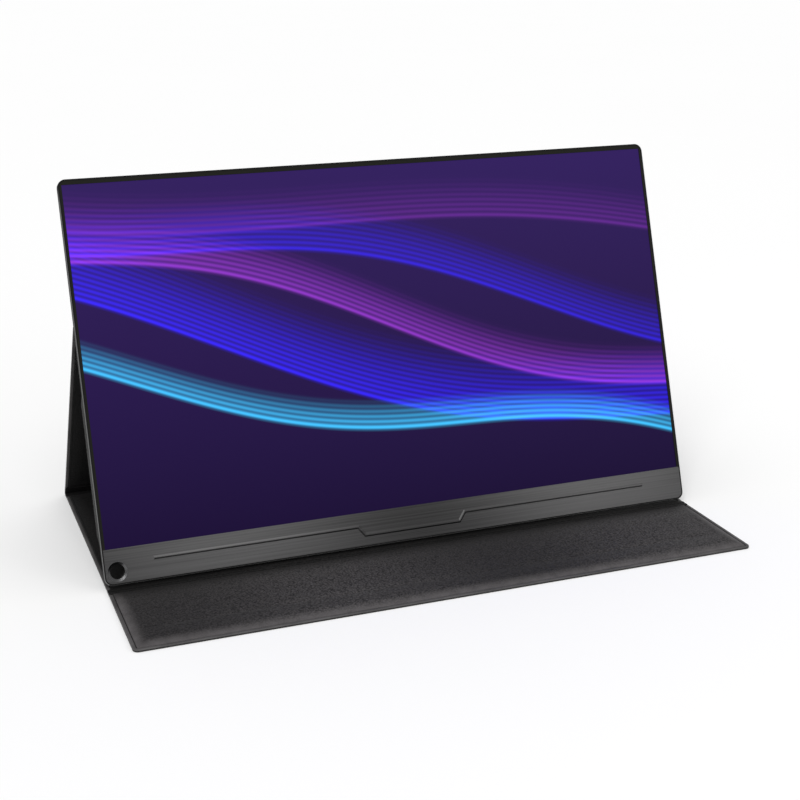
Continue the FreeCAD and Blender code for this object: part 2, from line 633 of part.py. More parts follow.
def main_board():
    """Main board screwed to four posts in the bay, with its row of chips."""
    board = new_body("main_board", "screen")
    deep = ("-Layout.pcb_back", "-Sizes.pcb_front")
    block(board, ("Layout.pcb_left", "Layout.pcb_right"), ("Layout.pcb_low", "Layout.pcb_high"), deep)
    across = ("Layout.pcb_right - Sizes.post_side", "Layout.pcb_left + Sizes.post_left")
    along = ("Layout.pcb_low + Sizes.post_edge", "Layout.pcb_high - Sizes.post_edge")
    spots = [(x, y) for x in across for y in along]
    hole = "Sizes.screw_radius + Sizes.fit_gap"
    discs(board, spots, hole, deep, cut=True)
    posts = new_body("board_posts", "screen")
    discs(posts, spots, "Sizes.post_radius", ("-Layout.bay_room", "-Layout.pcb_back"))
    discs(posts, spots, hole, ("-Layout.bay_room + Sizes.post_floor", "-Layout.pcb_back"), cut=True)
    screws = new_body("board_screws", "screen")
    discs(screws, spots, "Sizes.screw_radius",
          ("-Layout.pcb_back - Sizes.screw_reach", "-Sizes.pcb_front"))
    discs(screws, spots, "Sizes.post_radius",
          ("-Sizes.pcb_front", "-Sizes.pcb_front + Sizes.screw_head"))
    main_chips()


def main_chips():
    """One large chip in the middle of the board and two small ones on each side."""
    body = new_body("main_chips", "screen")
    row = [(0, "Sizes.chip_large")] + [(step, "Sizes.chip_small") for step in (-2, -1, 1, 2)]
    spans = []
    for step, size in row:
        middle = f"Layout.chip_x + {step} * Sizes.chip_pitch"
        spans.append((f"{middle} - {size} / 2", f"{middle} + {size} / 2",
                      f"Layout.chip_y - {size} / 2", f"Layout.chip_y + {size} / 2"))
    blocks(body, spans, ("-Layout.pcb_back - Sizes.chip_tall", "-Layout.pcb_back"))


def driver_board():
    """Narrow board behind the chin that drives the display glass."""
    body = new_body("driver_board", "screen")
    block(body, both_ways("Layout.driver_half"),
          ("Sizes.driver_low", "Sizes.driver_low + Sizes.driver_tall"),
          ("-Layout.driver_back", "-Sizes.bezel_depth"))


def panel_ribbon():
    """Flat cable from the middle of the driver board up onto the main board's face."""
    body = new_body("panel_ribbon", "screen")
    sketch = new_sketch(body, "YZ", "Layout.pcb_left + Sizes.ribbon_left")
    start = "Sizes.driver_low + Sizes.driver_tall / 2"
    foot = "Layout.pcb_low - Sizes.ribbon_start"
    head = f"{foot} + Sizes.ribbon_slope"
    end = f"{head} + Sizes.ribbon_lap"
    low, high = "-Layout.driver_back", "-Sizes.pcb_front + Sizes.ribbon_thick"
    front = [(start, low), (foot, low), (head, high), (end, high)]
    back = [(y, f"{z} - Sizes.ribbon_thick") for y, z in front]
    add_polygon(sketch, front + back[::-1])
    raise_sketch(body, sketch, "Sizes.ribbon_width")


def speakers():
    """Two flat speaker boxes behind their slotted grilles."""
    box = new_body("speakers", "screen")
    blocks(box, [grille_span(way, "Sizes.speaker_rim") for way in SIDES],
           ("-Layout.bay_room", "-Layout.bay_room + Sizes.speaker_thick"))
    mouths = [(f"{way}Layout.speaker_x", "Sizes.speaker_rise") for way in SIDES]
    discs(box, mouths, "Sizes.speaker_mouth",
          ("-Layout.bay_room", "-Layout.bay_room + Sizes.speaker_face"), cut=True)
    grille = new_body("speaker_grilles", "screen")
    deep = ("-Sizes.bay_depth", "-Layout.bay_room")
    blocks(grille, [grille_span(way) for way in SIDES], deep)
    rise = ("Sizes.speaker_rise - Sizes.slot_rise", "Sizes.speaker_rise + Sizes.slot_rise")
    slots = []
    for way in SIDES:
        for step in range(int(number("Sizes.slot_count"))):
            middle = f"{way}Layout.speaker_x + ({step} - (Sizes.slot_count - 1) / 2) * Sizes.slot_pitch"
            slots.append((f"{middle} - Sizes.slot_width / 2", f"{middle} + Sizes.slot_width / 2") + rise)
    blocks(grille, slots, deep, cut=True)


def data_sockets():
    """Two oval sockets and a wider video socket, sheet metal round a tongue."""
    floor = "Layout.socket_x + Sizes.socket_floor"
    rises = ["Sizes.port_first", "Sizes.port_second"]
    usb = new_body("usb_c_sockets", "screen")
    shell = new_sketch(usb, "YZ", "Layout.socket_x")
    mouth = new_sketch(usb, "YZ", floor)
    tongues = new_sketch(usb, "YZ", "Layout.socket_x")
    for rise in rises:
        add_oval(shell, rise, "-Layout.socket_mid", "Sizes.usb_half", "Sizes.socket_tall / 2")
        add_oval(mouth, rise, "-Layout.socket_mid", "Sizes.usb_half - Sizes.socket_skin",
                 "Sizes.socket_tall / 2 - Sizes.socket_skin")
        add_polygon(tongues, tongue_outline(rise, "Sizes.usb_tongue"))
    video = new_body("mini_hdmi_socket", "screen")
    outer = new_sketch(video, "YZ", "Layout.socket_x")
    add_polygon(outer, video_outline("0"))
    inner = new_sketch(video, "YZ", floor)
    add_polygon(inner, video_outline("Sizes.socket_skin"))
    tongue = new_sketch(video, "YZ", "Layout.socket_x")
    add_polygon(tongue, tongue_outline("Sizes.port_video", "Sizes.hdmi_tongue"))
    for body, case, opening, blade in ((usb, shell, mouth, tongues), (video, outer, inner, tongue)):
        raise_sketch(body, case, "Sizes.socket_deep")
        raise_sketch(body, opening, "Sizes.socket_deep", cut=True)
        raise_sketch(body, blade, "Sizes.tongue_long")


def tongue_outline(rise, half):
    return rectangle(f"{rise} - {half}", f"{rise} + {half}",
                     "-Layout.socket_mid - Sizes.tongue_half", "-Layout.socket_mid + Sizes.tongue_half")


def video_outline(inset):
    """The video socket's outline: square at the front side, sloped corners behind."""
    half = f"Sizes.hdmi_half - {inset}"
    low, high = f"-Layout.socket_back + {inset}", f"-Layout.pcb_back - {inset}"
    left, right = f"Sizes.port_video - ({half})", f"Sizes.port_video + {half}"
    step = f"{low} + Sizes.hdmi_step"
    return [(f"{left} + Sizes.hdmi_slope", low), (f"{right} - Sizes.hdmi_slope", low),
            (right, step), (right, high), (left, high), (left, step)]


def port_panel():
    """Plastic strip in the shell's right side, cut out for sockets and keys."""
    body = new_body("port_panel", "screen")
    gap = "Sizes.fit_gap"
    block(body, ("Layout.inner_half", "Layout.half_width"),
          (f"{PORT_SPAN[0]} + {gap}", f"{PORT_SPAN[1]} - {gap}"),
          (f"{PORT_DEPTH[0]} + {gap}", f"{PORT_DEPTH[1]} - {gap}"))
    holes = new_sketch(body, "YZ", "Layout.inner_half - Sizes.cut_past")
    for rise in ("Sizes.port_first", "Sizes.port_second"):
        add_oval(holes, rise, "-Layout.socket_mid", f"Sizes.usb_half + {gap}",
                 f"Sizes.socket_tall / 2 + {gap}")
    add_polygon(holes, video_outline(f"-{gap}"))
    for rise in ("Sizes.key_first", "Sizes.key_second"):
        add_oval(holes, rise, "-Layout.socket_mid", "Sizes.key_half + Sizes.key_gap",
                 "Sizes.key_tall / 2 + Sizes.key_gap")
    raise_sketch(body, holes, "Sizes.shell_wall + 2 * Sizes.cut_past", cut=True)


def side_keys():
    """Power and menu keys in the right side, and the switches they press on."""
    reach = "Layout.half_width + Sizes.key_stand - Layout.key_foot"
    rises = {"power_key": "Sizes.key_first", "menu_key": "Sizes.key_second"}
    for label, rise in rises.items():
        key = new_body(label, "screen")
        cap = new_sketch(key, "YZ", "Layout.key_foot")
        add_oval(cap, rise, "-Layout.socket_mid", "Sizes.key_half", "Sizes.key_tall / 2")
        raise_sketch(key, cap, reach)
        flange = new_sketch(key, "YZ", "Layout.key_foot")
        add_oval(flange, rise, "-Layout.socket_mid", "Sizes.key_half + Sizes.key_lip",
                 "Sizes.key_tall / 2 + Sizes.key_lip")
        raise_sketch(key, flange, "Sizes.key_flange")
        stem = new_sketch(key, "YZ", "Layout.key_tip")
        add_circle(stem, rise, "-Layout.socket_mid", "Sizes.key_stem_radius")
        raise_sketch(key, stem, "Sizes.key_stem")
    board = new_body("key_board", "screen")
    block(board, ("Layout.switch_back - Sizes.key_board_thick", "Layout.switch_back"),
          ("Sizes.key_first - Sizes.key_board_over", "Sizes.key_second + Sizes.key_board_over"),
          ("-Layout.bay_room", "-Layout.pcb_back"))
    switches = new_body("key_switches", "screen")
    spans = [("Layout.switch_back", "Layout.switch_face",
              f"{rise} - Sizes.switch_half", f"{rise} + Sizes.switch_half") for rise in rises.values()]
    blocks(switches, spans,
           ("-Layout.socket_mid - Sizes.switch_rise", "-Layout.socket_mid + Sizes.switch_rise"))


def cover_panel(name, frame, half, span, corners, rear="Sizes.hem"):
    """Leather, stiff board and lining of one panel, leather side at local zero."""
    skin = new_body(name + "_skin", frame)
    block(skin, both_ways(half), span, ("0", "Sizes.skin_thick"))
    board = new_body(name + "_board", frame)
    foot = (inset_outline(half, span, rear, "Sizes.board_foot"), BOARD_LEVELS[0])
    head = (inset_outline(half, span, rear, "Sizes.bevel_run + Sizes.board_head"), BOARD_LEVELS[1])
    loft(board, foot, head)
    lining = new_body(name + "_lining", frame)
    block(lining, both_ways(half), span, ("Sizes.skin_thick", "Layout.rim"))
    if corners:
        for piece in (skin, lining):
            round_corners(piece, half, corners, "Sizes.cover_corner")
    loft(lining, (inset_outline(half, span, rear, "0"), "Layout.rim"),
         (inset_outline(half, span, rear, "Sizes.bevel_run"), "Layout.panel_thick"))
    loft(lining, foot, head, cut=True)
    return board, lining


def inset_outline(half, span, rear, past):
    """A panel's outline drawn in by its flat rim, and by a set amount past that."""
    side = f"Sizes.hem + {past}"
    return rectangle(f"{side} - ({half})", f"({half}) - ({side})",
                     f"{span[0]} + {side}", f"{span[1]} - ({rear} + {past})")


def set_magnets(name, frame, board, count, half, y):
    """A row of round magnets let into a board, flush with both its faces."""
    last = int(number(count)) - 1
    reach = f"({half} - Sizes.magnet_side)"
    spots = [(f"{reach} * (2 * {step} / {last} - 1)", y) for step in range(last + 1)]
    discs(board, spots, "Sizes.magnet_radius + Sizes.fit_gap", BOARD_LEVELS, cut=True)
    discs(new_body(name, frame), spots, "Sizes.magnet_radius", BOARD_LEVELS)


def crease(body):
    """Half-round pressed line centred on the flap's fold."""
    sketch = new_sketch(body, "YZ", "-Layout.half_cover - Sizes.cut_past")
    add_circle(sketch, "Layout.flap_y", "Layout.rim", "Sizes.crease_radius")
    raise_sketch(body, sketch, "2 * (Layout.half_cover + Sizes.cut_past)", cut=True)


def base_and_flap():
    """The cover's front half on the table: base, seat strip and the flap before it."""
    half = "Layout.half_cover"
    cover_panel("base", "table", half, ("Layout.base_front", "Layout.foot_y - Sizes.fold_leg"), [])
    seat = new_body("seat_strip", "table")
    block(seat, both_ways(half), ("Layout.flap_y", "Layout.base_front"), ("0", "Layout.rim"))
    crease(seat)
    board, lining = cover_panel("flap", "table", half, ("Layout.flap_front", "Layout.flap_y"),
                                ["Layout.flap_front"], "Sizes.fold_hem")
    crease(lining)
    line = "Layout.screen_y - Sizes.score_out"
    block(lining, both_ways(f"{half} - Sizes.hem - Sizes.bevel_run"),
          (f"{line} - Sizes.score_width / 2", f"{line} + Sizes.score_width / 2"),
          ("Layout.panel_thick - Sizes.score_depth", "Layout.panel_thick"), cut=True)
    set_magnets("flap_magnets", "table", board, "Sizes.flap_magnet_count", half,
                "Layout.flap_front + Sizes.magnet_edge")


def strut_and_back():
    """Strut behind the screen, and the panel above it that holds the screen."""
    cover_panel("strut", "strut", "Layout.half_cover",
                ("Sizes.fold_leg", "Layout.strut_length - Sizes.fold_leg"), [])
    board = cover_panel("back_panel", "back", "Layout.half_back",
                        ("Sizes.fold_leg", "Sizes.back_height"), ["Sizes.back_height"])[0]
    set_magnets("back_magnets", "back", board, "Sizes.back_magnet_count", "Layout.half_back",
                "(Sizes.fold_leg + Sizes.back_height) / 2")


def fold_strip(label, frame, half, angle):
    """Soft strip bent over a fold: two flat legs and a round back about the fold line."""
    body = new_body(label, frame)
    sketch = new_sketch(body, "YZ", f"-({half})")
    draw_fold(sketch, angle)
    far = f"Sizes.fold_leg * sin({angle})"
    pin_point(sketch, 0, 1, "-Sizes.fold_leg", "-Layout.rim")
    pin_point(sketch, 0, 2, "0", "-Layout.rim")
    bind(sketch, Rule("DistanceX", -1, 1, 2, 1, number(f"Layout.rim * sin({angle})")),
         f"Layout.rim * sin({angle})")
    pin_point(sketch, 3, 1, f"Layout.rim * sin({angle}) - Sizes.fold_leg * cos({angle})",
              f"Layout.rim * cos({angle}) + {far}")
    pin_point(sketch, 4, 1, f"-Sizes.fold_leg * cos({angle})", far)
    pin_point(sketch, 6, 1, "-Sizes.fold_leg", "0")
    raise_sketch(body, sketch, f"2 * ({half})")


def draw_fold(sketch, angle):
    """The strip's section: lower leg, round back, upper leg, and the inner crook."""
    leg, rim, bend = number("Sizes.fold_leg"), number("Layout.rim"), math.radians(number(angle))
    along = V(-math.cos(bend), math.sin(bend), 0)
    out = V(along.y, -along.x, 0)
    crook = V(0, 0, 0)
    low, high = V(-leg, 0, 0), along * leg
    below = V(0, -rim, 0)
    sketch.addGeometry(Part.LineSegment(low + below, below), False)
    turn = Part.Circle(crook, V(0, 0, 1), rim)
    sketch.addGeometry(Part.ArcOfCircle(turn, -QUARTER, QUARTER - bend), False)
    ring = [out * rim, out * rim + high, high, crook, low, low + below]
    for start, end in zip(ring, ring[1:]):
        sketch.addGeometry(Part.LineSegment(start, end), False)
    count = sketch.GeometryCount
    for line in range(count):
        sketch.addConstraint(Rule("Coincident", line, 2, (line + 1) % count, 1))
    sketch.addConstraint(Rule("Coincident", 1, 3, -1, 1))
    sketch.addConstraint(Rule("Coincident", 4, 2, -1, 1))


def write_pieces():
    """Stop on any broken feature or shape, then write one file per sub-part."""
    doc.recompute()
    for item in doc.Objects:
        if "Invalid" in item.State or "Error" in item.State:
            raise RuntimeError(f"{item.Label} did not build: {item.State}")
    os.makedirs("parts", exist_ok=True)
    for piece in pieces:
        shape = piece.Shape
        if shape.isNull() or not shape.isValid() or not shape.Solids:
            raise RuntimeError(f"{piece.Label} has no sound solid")
        shape.exportStep(f"parts/{piece.Label}.step")


sizes = make_sheets()
rear_shell()
front_bezel()
chin_plate()
pen_ring()
display_panel()
latch_plate()
main_board()
driver_board()
panel_ribbon()
speakers()
data_sockets()
port_panel()
side_keys()
base_and_flap()
strut_and_back()
fold_strip("spine_strip", "foot", "Layout.half_cover", "Layout.stand_angle")
fold_strip("apex_strip", "apex", "Layout.half_back", "Layout.apex_angle")
write_pieces()
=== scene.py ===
import json
import math

import bmesh
import bpy
from mathutils import Matrix, Vector


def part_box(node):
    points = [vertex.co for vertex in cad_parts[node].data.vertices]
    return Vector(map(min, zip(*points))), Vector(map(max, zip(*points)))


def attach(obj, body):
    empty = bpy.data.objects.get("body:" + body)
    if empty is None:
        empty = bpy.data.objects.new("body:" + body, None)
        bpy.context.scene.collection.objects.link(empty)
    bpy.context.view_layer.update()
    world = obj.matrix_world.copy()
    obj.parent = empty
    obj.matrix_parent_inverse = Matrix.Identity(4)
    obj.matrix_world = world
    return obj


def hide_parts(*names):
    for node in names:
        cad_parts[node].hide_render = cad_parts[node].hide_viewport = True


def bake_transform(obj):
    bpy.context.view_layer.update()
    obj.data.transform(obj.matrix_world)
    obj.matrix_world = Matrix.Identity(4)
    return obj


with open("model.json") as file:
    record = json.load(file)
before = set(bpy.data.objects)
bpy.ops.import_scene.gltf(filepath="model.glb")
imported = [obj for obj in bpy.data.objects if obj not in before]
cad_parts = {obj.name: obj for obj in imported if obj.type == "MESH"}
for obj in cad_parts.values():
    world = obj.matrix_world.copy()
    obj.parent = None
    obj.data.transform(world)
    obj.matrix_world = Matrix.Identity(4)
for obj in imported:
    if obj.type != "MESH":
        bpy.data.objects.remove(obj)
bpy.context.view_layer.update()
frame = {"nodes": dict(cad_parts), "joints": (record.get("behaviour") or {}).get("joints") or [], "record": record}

bl_info = {
    "name": "Portable monitor with cover",
    "version": (1, 0, 0),
    "blender": (4, 5, 0),
    "location": "View3D > Sidebar > Monitor",
    "description": "Dresses a portable monitor and its folding leather cover",
    "category": "Object",
}

MM = 0.001
JOINTS = {joint["name"]: joint for joint in frame["joints"]}
MOUNTS = {mount["name"]: mount for mount in frame["record"]["mounts"]}

# Heights of the cover's layers above the table, and its three fold lines
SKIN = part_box("base_skin")[1].z
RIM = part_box("seat_strip")[1].z
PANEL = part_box("base_lining")[1].z
FOOT = Vector(JOINTS["stand_fold"]["pos_m"])
APEX = Vector(JOINTS["screen_fold"]["pos_m"])
HINGE = Vector(JOINTS["flap_fold"]["pos_m"])

# How far the screen leans back, and how steeply the strut stands
PEN_AXIS = Vector(MOUNTS["pen_hole"]["axis"])
PEN_SPOT = Vector(MOUNTS["pen_hole"]["pos_m"])
TILT = math.atan2(PEN_AXIS.z, -PEN_AXIS.y)
STRUT_SPAN = math.hypot(FOOT.y - APEX.y, APEX.z - RIM)
STAND = math.asin((APEX.z - RIM) / STRUT_SPAN) - math.asin(RIM / STRUT_SPAN)
UPRIGHT = math.pi / 2 - TILT
SCREEN_TURN = (UPRIGHT, 0, 0)

# Each panel lies flat in its own frame, leather side at zero
TABLE_FRAME = Matrix.Identity(4)
STRUT_FRAME = Matrix.Translation(
    (0, FOOT.y + RIM * math.sin(STAND), RIM + RIM * math.cos(STAND))
) @ Matrix.Rotation(math.pi - STAND, 4, "X")
SCREEN_FRAME = Matrix.Translation(APEX) @ Matrix.Rotation(UPRIGHT, 4, "X")
FOOT_FRAME = Matrix.Translation(FOOT)
APEX_FRAME = Matrix.Translation(APEX) @ Matrix.Rotation(UPRIGHT - math.pi, 4, "X")

# Where the broad bands of painted light along chin and lining are palest, and how far apart these places lie: they
# stand in for two soft lights mirrored in the chin and falling on the flap
CHIN_LIGHT_BANDS = (118 * MM, 222 * MM)
LINING_LIGHT_BANDS = (138 * MM, 198 * MM)

# Sizes of the streaks in worked metal: across the screen, up it and out of it
BRUSH_LINES = (100 * MM, 0.7 * MM, 0.7 * MM)
BRUSH_CLOUDS = (90 * MM, 20 * MM, 20 * MM)
ROLLED_LINES = (50 * MM, 2 * MM, 2 * MM)

# Noise seldom leaves the first range, and mostly keeps within the second
NOISE_RANGE = (0.25, 0.75)
NOISE_MIDDLE = (0.3, 0.7)

# Targets of a remapped value
RISE = (0.0, 1.0)
FALL = (1.0, 0.0)

# Fineness of the new meshes
CORNER_STEPS = 8
EDGE_STEPS = 3
SLOPE_STEPS = 8
FOLD_STEPS = 10
HINGE_STEPS = 8
GRID = 15 * MM
WELD = 0.01 * MM
SMOOTH_ANGLE = math.radians(40)

# Wave lengths of the slack in lining and leather
LINING_WAVE = 45 * MM
LEATHER_WAVE = 60 * MM

# Limits for the way a face looks: nearly square to an axis, and mostly along one
ASKEW = 0.1
MOSTLY = 0.5

# The flap's lining is darkened with painted shade on this share of the slope beside its fold, where the screen
# shades it
FOLD_SHADE_SHARE = 0.7

# The shell's metal is uncoated and lighter, partly as a painted highlight, up to these shares of the bevel's
# width, backwards and inwards, and this light line fades out from this share of the upper half's height
BARE_LIT_DEPTH = 1.1
BARE_LIT_WIDTH = 1.2
BARE_LIT_TOP = 0.8

# Ribbons of the picture: middle height, slope, swing, waves across, shift, depth, colour, strength
RIBBONS = [
    (0.82, -0.10, 0.05, 2.1, 0.4, 0.13, "violet", 0.22),
    (0.66, -0.20, 0.07, 2.6, 1.7, 0.15, "blue", 0.55),
    (0.53, -0.25, 0.06, 3.0, 3.1, 0.13, "violet", 0.60),
    (0.38, -0.24, 0.08, 2.3, 4.4, 0.22, "blue", 0.85),
    (0.27, -0.20, 0.06, 2.9, 5.6, 0.09, "cyan", 0.80),
]

# Pleats of the ribbons, in radians over the picture's height, and how deep they are
PLEAT_RATE = 420.0
PLEAT_DEPTH = 0.3

# Foot of the ribbons, in picture heights: a soft rise, a bright line and this line's share of the strength
SOFT_LINE = (-0.012, 0.004)
BRIGHT_LINE = (0.0, 0.007)
BRIGHT_SHARE = 0.5

# Sheet metal inside: finish, colour, roughness and nodes
INSIDE_SHEETS = [
    ("rolled_steel", (0.45, 0.45, 0.46), 0.35,
     ("panel_tray", "latch_plate", "board_screws", "flap_magnets", "back_magnets")),
    ("turned_brass", (0.60, 0.45, 0.20), 0.30, ("board_posts",)),
]

# Plain pieces inside: finish, colour, roughness, scale of the mottling and nodes
INSIDE_PLAIN = [
    ("white_film", (0.80, 0.80, 0.80), 0.50, 40.0, ("diffuser_films", "reflector_sheet", "led_strip")),
    ("clear_guide", (0.72, 0.78, 0.80), 0.15, 20.0, ("light_guide",)),
    ("circuit_board", (0.02, 0.12, 0.05), 0.45, 900.0, ("main_board", "driver_board", "key_board")),
    ("moulded_chip", (0.016, 0.016, 0.018), 0.50, 700.0, ("main_chips", "speakers", "key_switches")),
    ("amber_ribbon", (0.35, 0.16, 0.03), 0.40, 200.0, ("panel_ribbon",)),
    ("stiff_board", (0.25, 0.25, 0.25), 0.80, 300.0,
     ("base_board", "flap_board", "strut_board", "back_panel_board")),
]


def local_box(node, matrix):
    """Lowest and highest corner of a CAD node in one of the frames above."""
    inverse = matrix.inverted()
    spots = [inverse @ vertex.co for vertex in frame["nodes"][node].data.vertices]
    low = Vector(min(spot[axis] for spot in spots) for axis in range(3))
    high = Vector(max(spot[axis] for spot in spots) for axis in range(3))
    return low, high


# Settings that a user would change

def length(name, note, default):
    return bpy.props.FloatProperty(
        name=name, description=note, default=default, min=0.0, precision=5, unit="LENGTH"
    )


def colour(name, note, default):
    return bpy.props.FloatVectorProperty(
        name=name, description=note, default=default, min=0.0, max=1.0, subtype="COLOR"
    )


def number(name, note, default, unit="NONE"):
    return bpy.props.FloatProperty(name=name, description=note, default=default, unit=unit)


def angle(name, note, degrees):
    return bpy.props.FloatProperty(
        name=name, description=note, default=math.radians(degrees), subtype="ANGLE"
    )


def vector(name, note, default, subtype):
    return bpy.props.FloatVectorProperty(
        name=name, description=note, default=default, precision=5, subtype=subtype
    )


class CoverSettings(bpy.types.PropertyGroup):
    hem: length("Hem", "Flat pressed rim round each panel", 2.6 * MM)
    slope: length("Slope", "Run from the rim up to the raised face", 7.0 * MM)
    fold_slope: length("Fold slope", "Longer run on the flap beside its fold", 25.0 * MM)
    corner: length("Corner", "Rounding of the panels' free corners", 3.0 * MM)
    wrap: length("Turned edge", "Leather turned up round the free edges", 1.8 * MM)
    seam: length("Seam", "Gap between the turned edge and the lining", 0.5 * MM)
    edge: length("Edge", "Rounding of the leather's edges", 0.3 * MM)
    crease: length("Crease", "Half width of the pressed line on the flap", 0.7 * MM)
    crease_out: length("Crease place", "Pressed line before the flap's fold", 51.0 * MM)
    crease_depth: length("Crease depth", "Depth of the pressed lines", 0.3 * MM)
    ripple: length("Ripple", "Slack of leather and lining over the boards", 0.25 * MM)
    swell: length("Swell", "Flap's face stands above the other panels'", 0.6 * MM)
    fold_reach: length("Fold reach", "Bending strip on each side of the flap's fold", 2.5 * MM)
    leather: colour("Leather", "Outer leather", (0.026, 0.025, 0.025))
    lining: colour("Lining", "Grained lining of the flap", (0.041, 0.0385, 0.039))
    # Painted shade: a darker copy of the grained lining, for linings that lie in shade inside the stand and under
    # the chin
    inside: colour("Inside", "Dark lining below and behind the screen", (0.008, 0.0076, 0.0076))


class BodySettings(bpy.types.PropertyGroup):
    chin: colour("Chin", "Brushed bar below the picture", (0.100, 0.099, 0.100))
    shell: colour("Shell", "Dark blasted metal of the rear shell", (0.012, 0.012, 0.012))
    # Uncoated metal and painted highlight along the shell's front bevel
    rim: colour("Rim", "Bare metal along the shell's front bevel", (0.200, 0.200, 0.200))
    corner: length("Corner", "Rounding of the body's corners", 4.5 * MM)
    bevel: length("Bevel", "Width of the shell's bare front bevel", 0.35 * MM)
    bezel: colour("Bezel", "Moulded frame round the picture", (0.011, 0.011, 0.009))
    ring: colour("Ring", "Turned liner of the pen hole", (0.110, 0.110, 0.112))
    socket: colour("Sockets", "Plated sheet of the data sockets", (0.560, 0.560, 0.570))


class PictureSettings(bpy.types.PropertyGroup):
    upper: colour("Upper ground", "Top of the picture", (0.031, 0.012, 0.112))
    lower: colour("Lower ground", "Foot of the picture", (0.010, 0.003, 0.036))
    blue: colour("Blue", "Deep ribbon", (0.020, 0.012, 0.900))
    cyan: colour("Cyan", "Bright ribbon", (0.045, 0.560, 1.000))
    violet: colour("Violet", "Warm ribbon", (0.330, 0.040, 0.640))


class StageSettings(bpy.types.PropertyGroup):
    floor: colour("Floor", "Pale floor", (0.97, 0.97, 0.97))
    floor_size: length("Floor size", "Width of the floor", 60.0)
    floor_gap: length("Floor gap", "How far the floor lies below the cover", 0.05 * MM)
    lens: number("Lens", "Focal length", 66.19, "CAMERA")
    sensor: number("Sensor", "Width of the camera's sensor", 36.0, "CAMERA")
    camera: vector("Camera", "Where the camera stands", (-0.27479, -0.75643, 0.33071), "TRANSLATION")
    azimuth: angle("Azimuth", "Camera's turn round the object", -20.385)
    elevation: angle("Elevation", "Camera's height as an angle", 17.670)
    roll: angle("Roll", "Camera's lean", -0.419)
    sky: number("Sky", "Soft light from all round", 0.60)
    sun: number("Sun", "Soft light from the upper front", 1.75)
    sun_way: vector("Sun's way", "Way that the sun's light goes", (0.35, 0.80, -1.0), "DIRECTION")
    sun_angle: angle("Sun's width", "Wide suns have soft shadows", 45.0)
    box_power: number("Soft box", "Power of the soft box on the right", 1.4, "POWER")
    box_spot: vector("Soft box place", "Where the soft box stands", (0.75, -1.06, 0.55), "TRANSLATION")
    box_size: length("Soft box size", "Width of the soft box", 0.5)


# Steps of the modelling

def start_box(name, low, high):
    """A box primitive at its size and place, open for editing with nothing picked."""
    bpy.ops.object.select_all(action="DESELECT")
    low = Vector(low)
    high = Vector(high)
    bpy.ops.mesh.primitive_cube_add(size=1, location=(low + high) / 2, scale=high - low)
    bpy.ops.object.transform_apply(location=True, rotation=True, scale=True)
    piece = bpy.context.object
    piece.name = name
    piece.data.name = name
    bpy.ops.object.mode_set(mode="EDIT")
    bpy.ops.mesh.select_all(action="DESELECT")
    return piece


def pick(piece, kind, test):
    """Pick the faces or edges that pass the test."""
    bpy.ops.mesh.select_mode(type=kind)
    bpy.ops.mesh.select_all(action="DESELECT")
    mesh = bmesh.from_edit_mesh(piece.data)
    items = mesh.faces if kind == "FACE" else mesh.edges
    found = [item for item in items if test(item)]
    for item in found:
        item.select_set(True)
    mesh.select_flush_mode()
    bmesh.update_edit_mesh(piece.data)
    if not found:
        raise RuntimeError(f"nothing to pick on {piece.name}")


def near(value, target, reach=0.02 * MM):
    return abs(value - target) < reach


def at_level(z):
    """Test for whatever lies flat at one height."""
    return lambda item: all(near(corner.co.z, z) for corner in item.verts)


def upright_corner(half, ends):
    """Test for the upright edges at a panel's free corners."""
    def test(edge):
        first, second = (corner.co for corner in edge.verts)
        is_upright = near(first.x, second.x) and near(first.y, second.y)
        return is_upright and near(abs(first.x), half) and any(near(first.y, end) for end in ends)
    return test


def stands(face):
    """Test for upright faces."""
    return abs(face.normal.z) < ASKEW


def rim_edge(edge):
    """Test for the outer edges of a rim's flat top."""
    return at_level(RIM)(edge) and any(stands(face) for face in edge.link_faces)


def under_edge(edge):
    """Test for the outer edges of a panel's under side."""
    faces = edge.link_faces
    return any(stands(face) for face in faces) and any(face.normal.z < ASKEW - 1 for face in faces)


def round_edges(piece, test, settings):
    """Round the edges that pass the test."""
    pick(piece, "EDGE", test)
    bpy.ops.mesh.bevel(offset=settings.edge, segments=EDGE_STEPS, affect="EDGES")


def sink_line(piece, place, level, depth):
    """Press down one line that runs across a flat side."""
    pick(piece, "EDGE", lambda edge: all(
        near(corner.co.y, place) and near(corner.co.z, level) for corner in edge.verts))
    bpy.ops.transform.translate(value=(0, 0, -depth))


def close_edit(piece, matrix):
    """Leave edit mode, set the piece in its place and shade it smooth where it is round."""
    bpy.ops.mesh.select_all(action="SELECT")
    bpy.ops.mesh.normals_make_consistent(inside=False)
    bpy.ops.object.mode_set(mode="OBJECT")
    piece.matrix_world = matrix
    bpy.ops.object.transform_apply(location=True, rotation=True, scale=True)
    bpy.ops.object.shade_smooth_by_angle(angle=SMOOTH_ANGLE)


def ripple(piece, level, depth, span):
    """Let one flat side rise and sink a little, as leather does over a board."""
    bpy.ops.object.mode_set(mode="OBJECT")
    group = piece.vertex_groups.new(name="slack")
    spots = [corner.index for corner in piece.data.vertices if near(corner.co.z, level)]
    group.add(spots, 1.0, "REPLACE")
    clouds = bpy.data.textures.new(piece.name + "_slack", type="CLOUDS")
    clouds.noise_scale = span
    slack = piece.modifiers.new("slack", "DISPLACE")
    slack.texture = clouds
    slack.texture_coords = "LOCAL"
    slack.direction = "Z"
    slack.strength = depth
    slack.vertex_group = group.name
    bpy.ops.object.modifier_apply(modifier=slack.name)
    bpy.ops.object.mode_set(mode="EDIT")


def start_panel(name, low, high, corner, ends):
    """A flat slab with its free corners rounded."""
    piece = start_box(name, low, high)
    if ends:
        pick(piece, "EDGE", upright_corner(high[0], ends))
        bpy.ops.mesh.bevel(offset=corner, segments=CORNER_STEPS, affect="EDGES")
    return piece


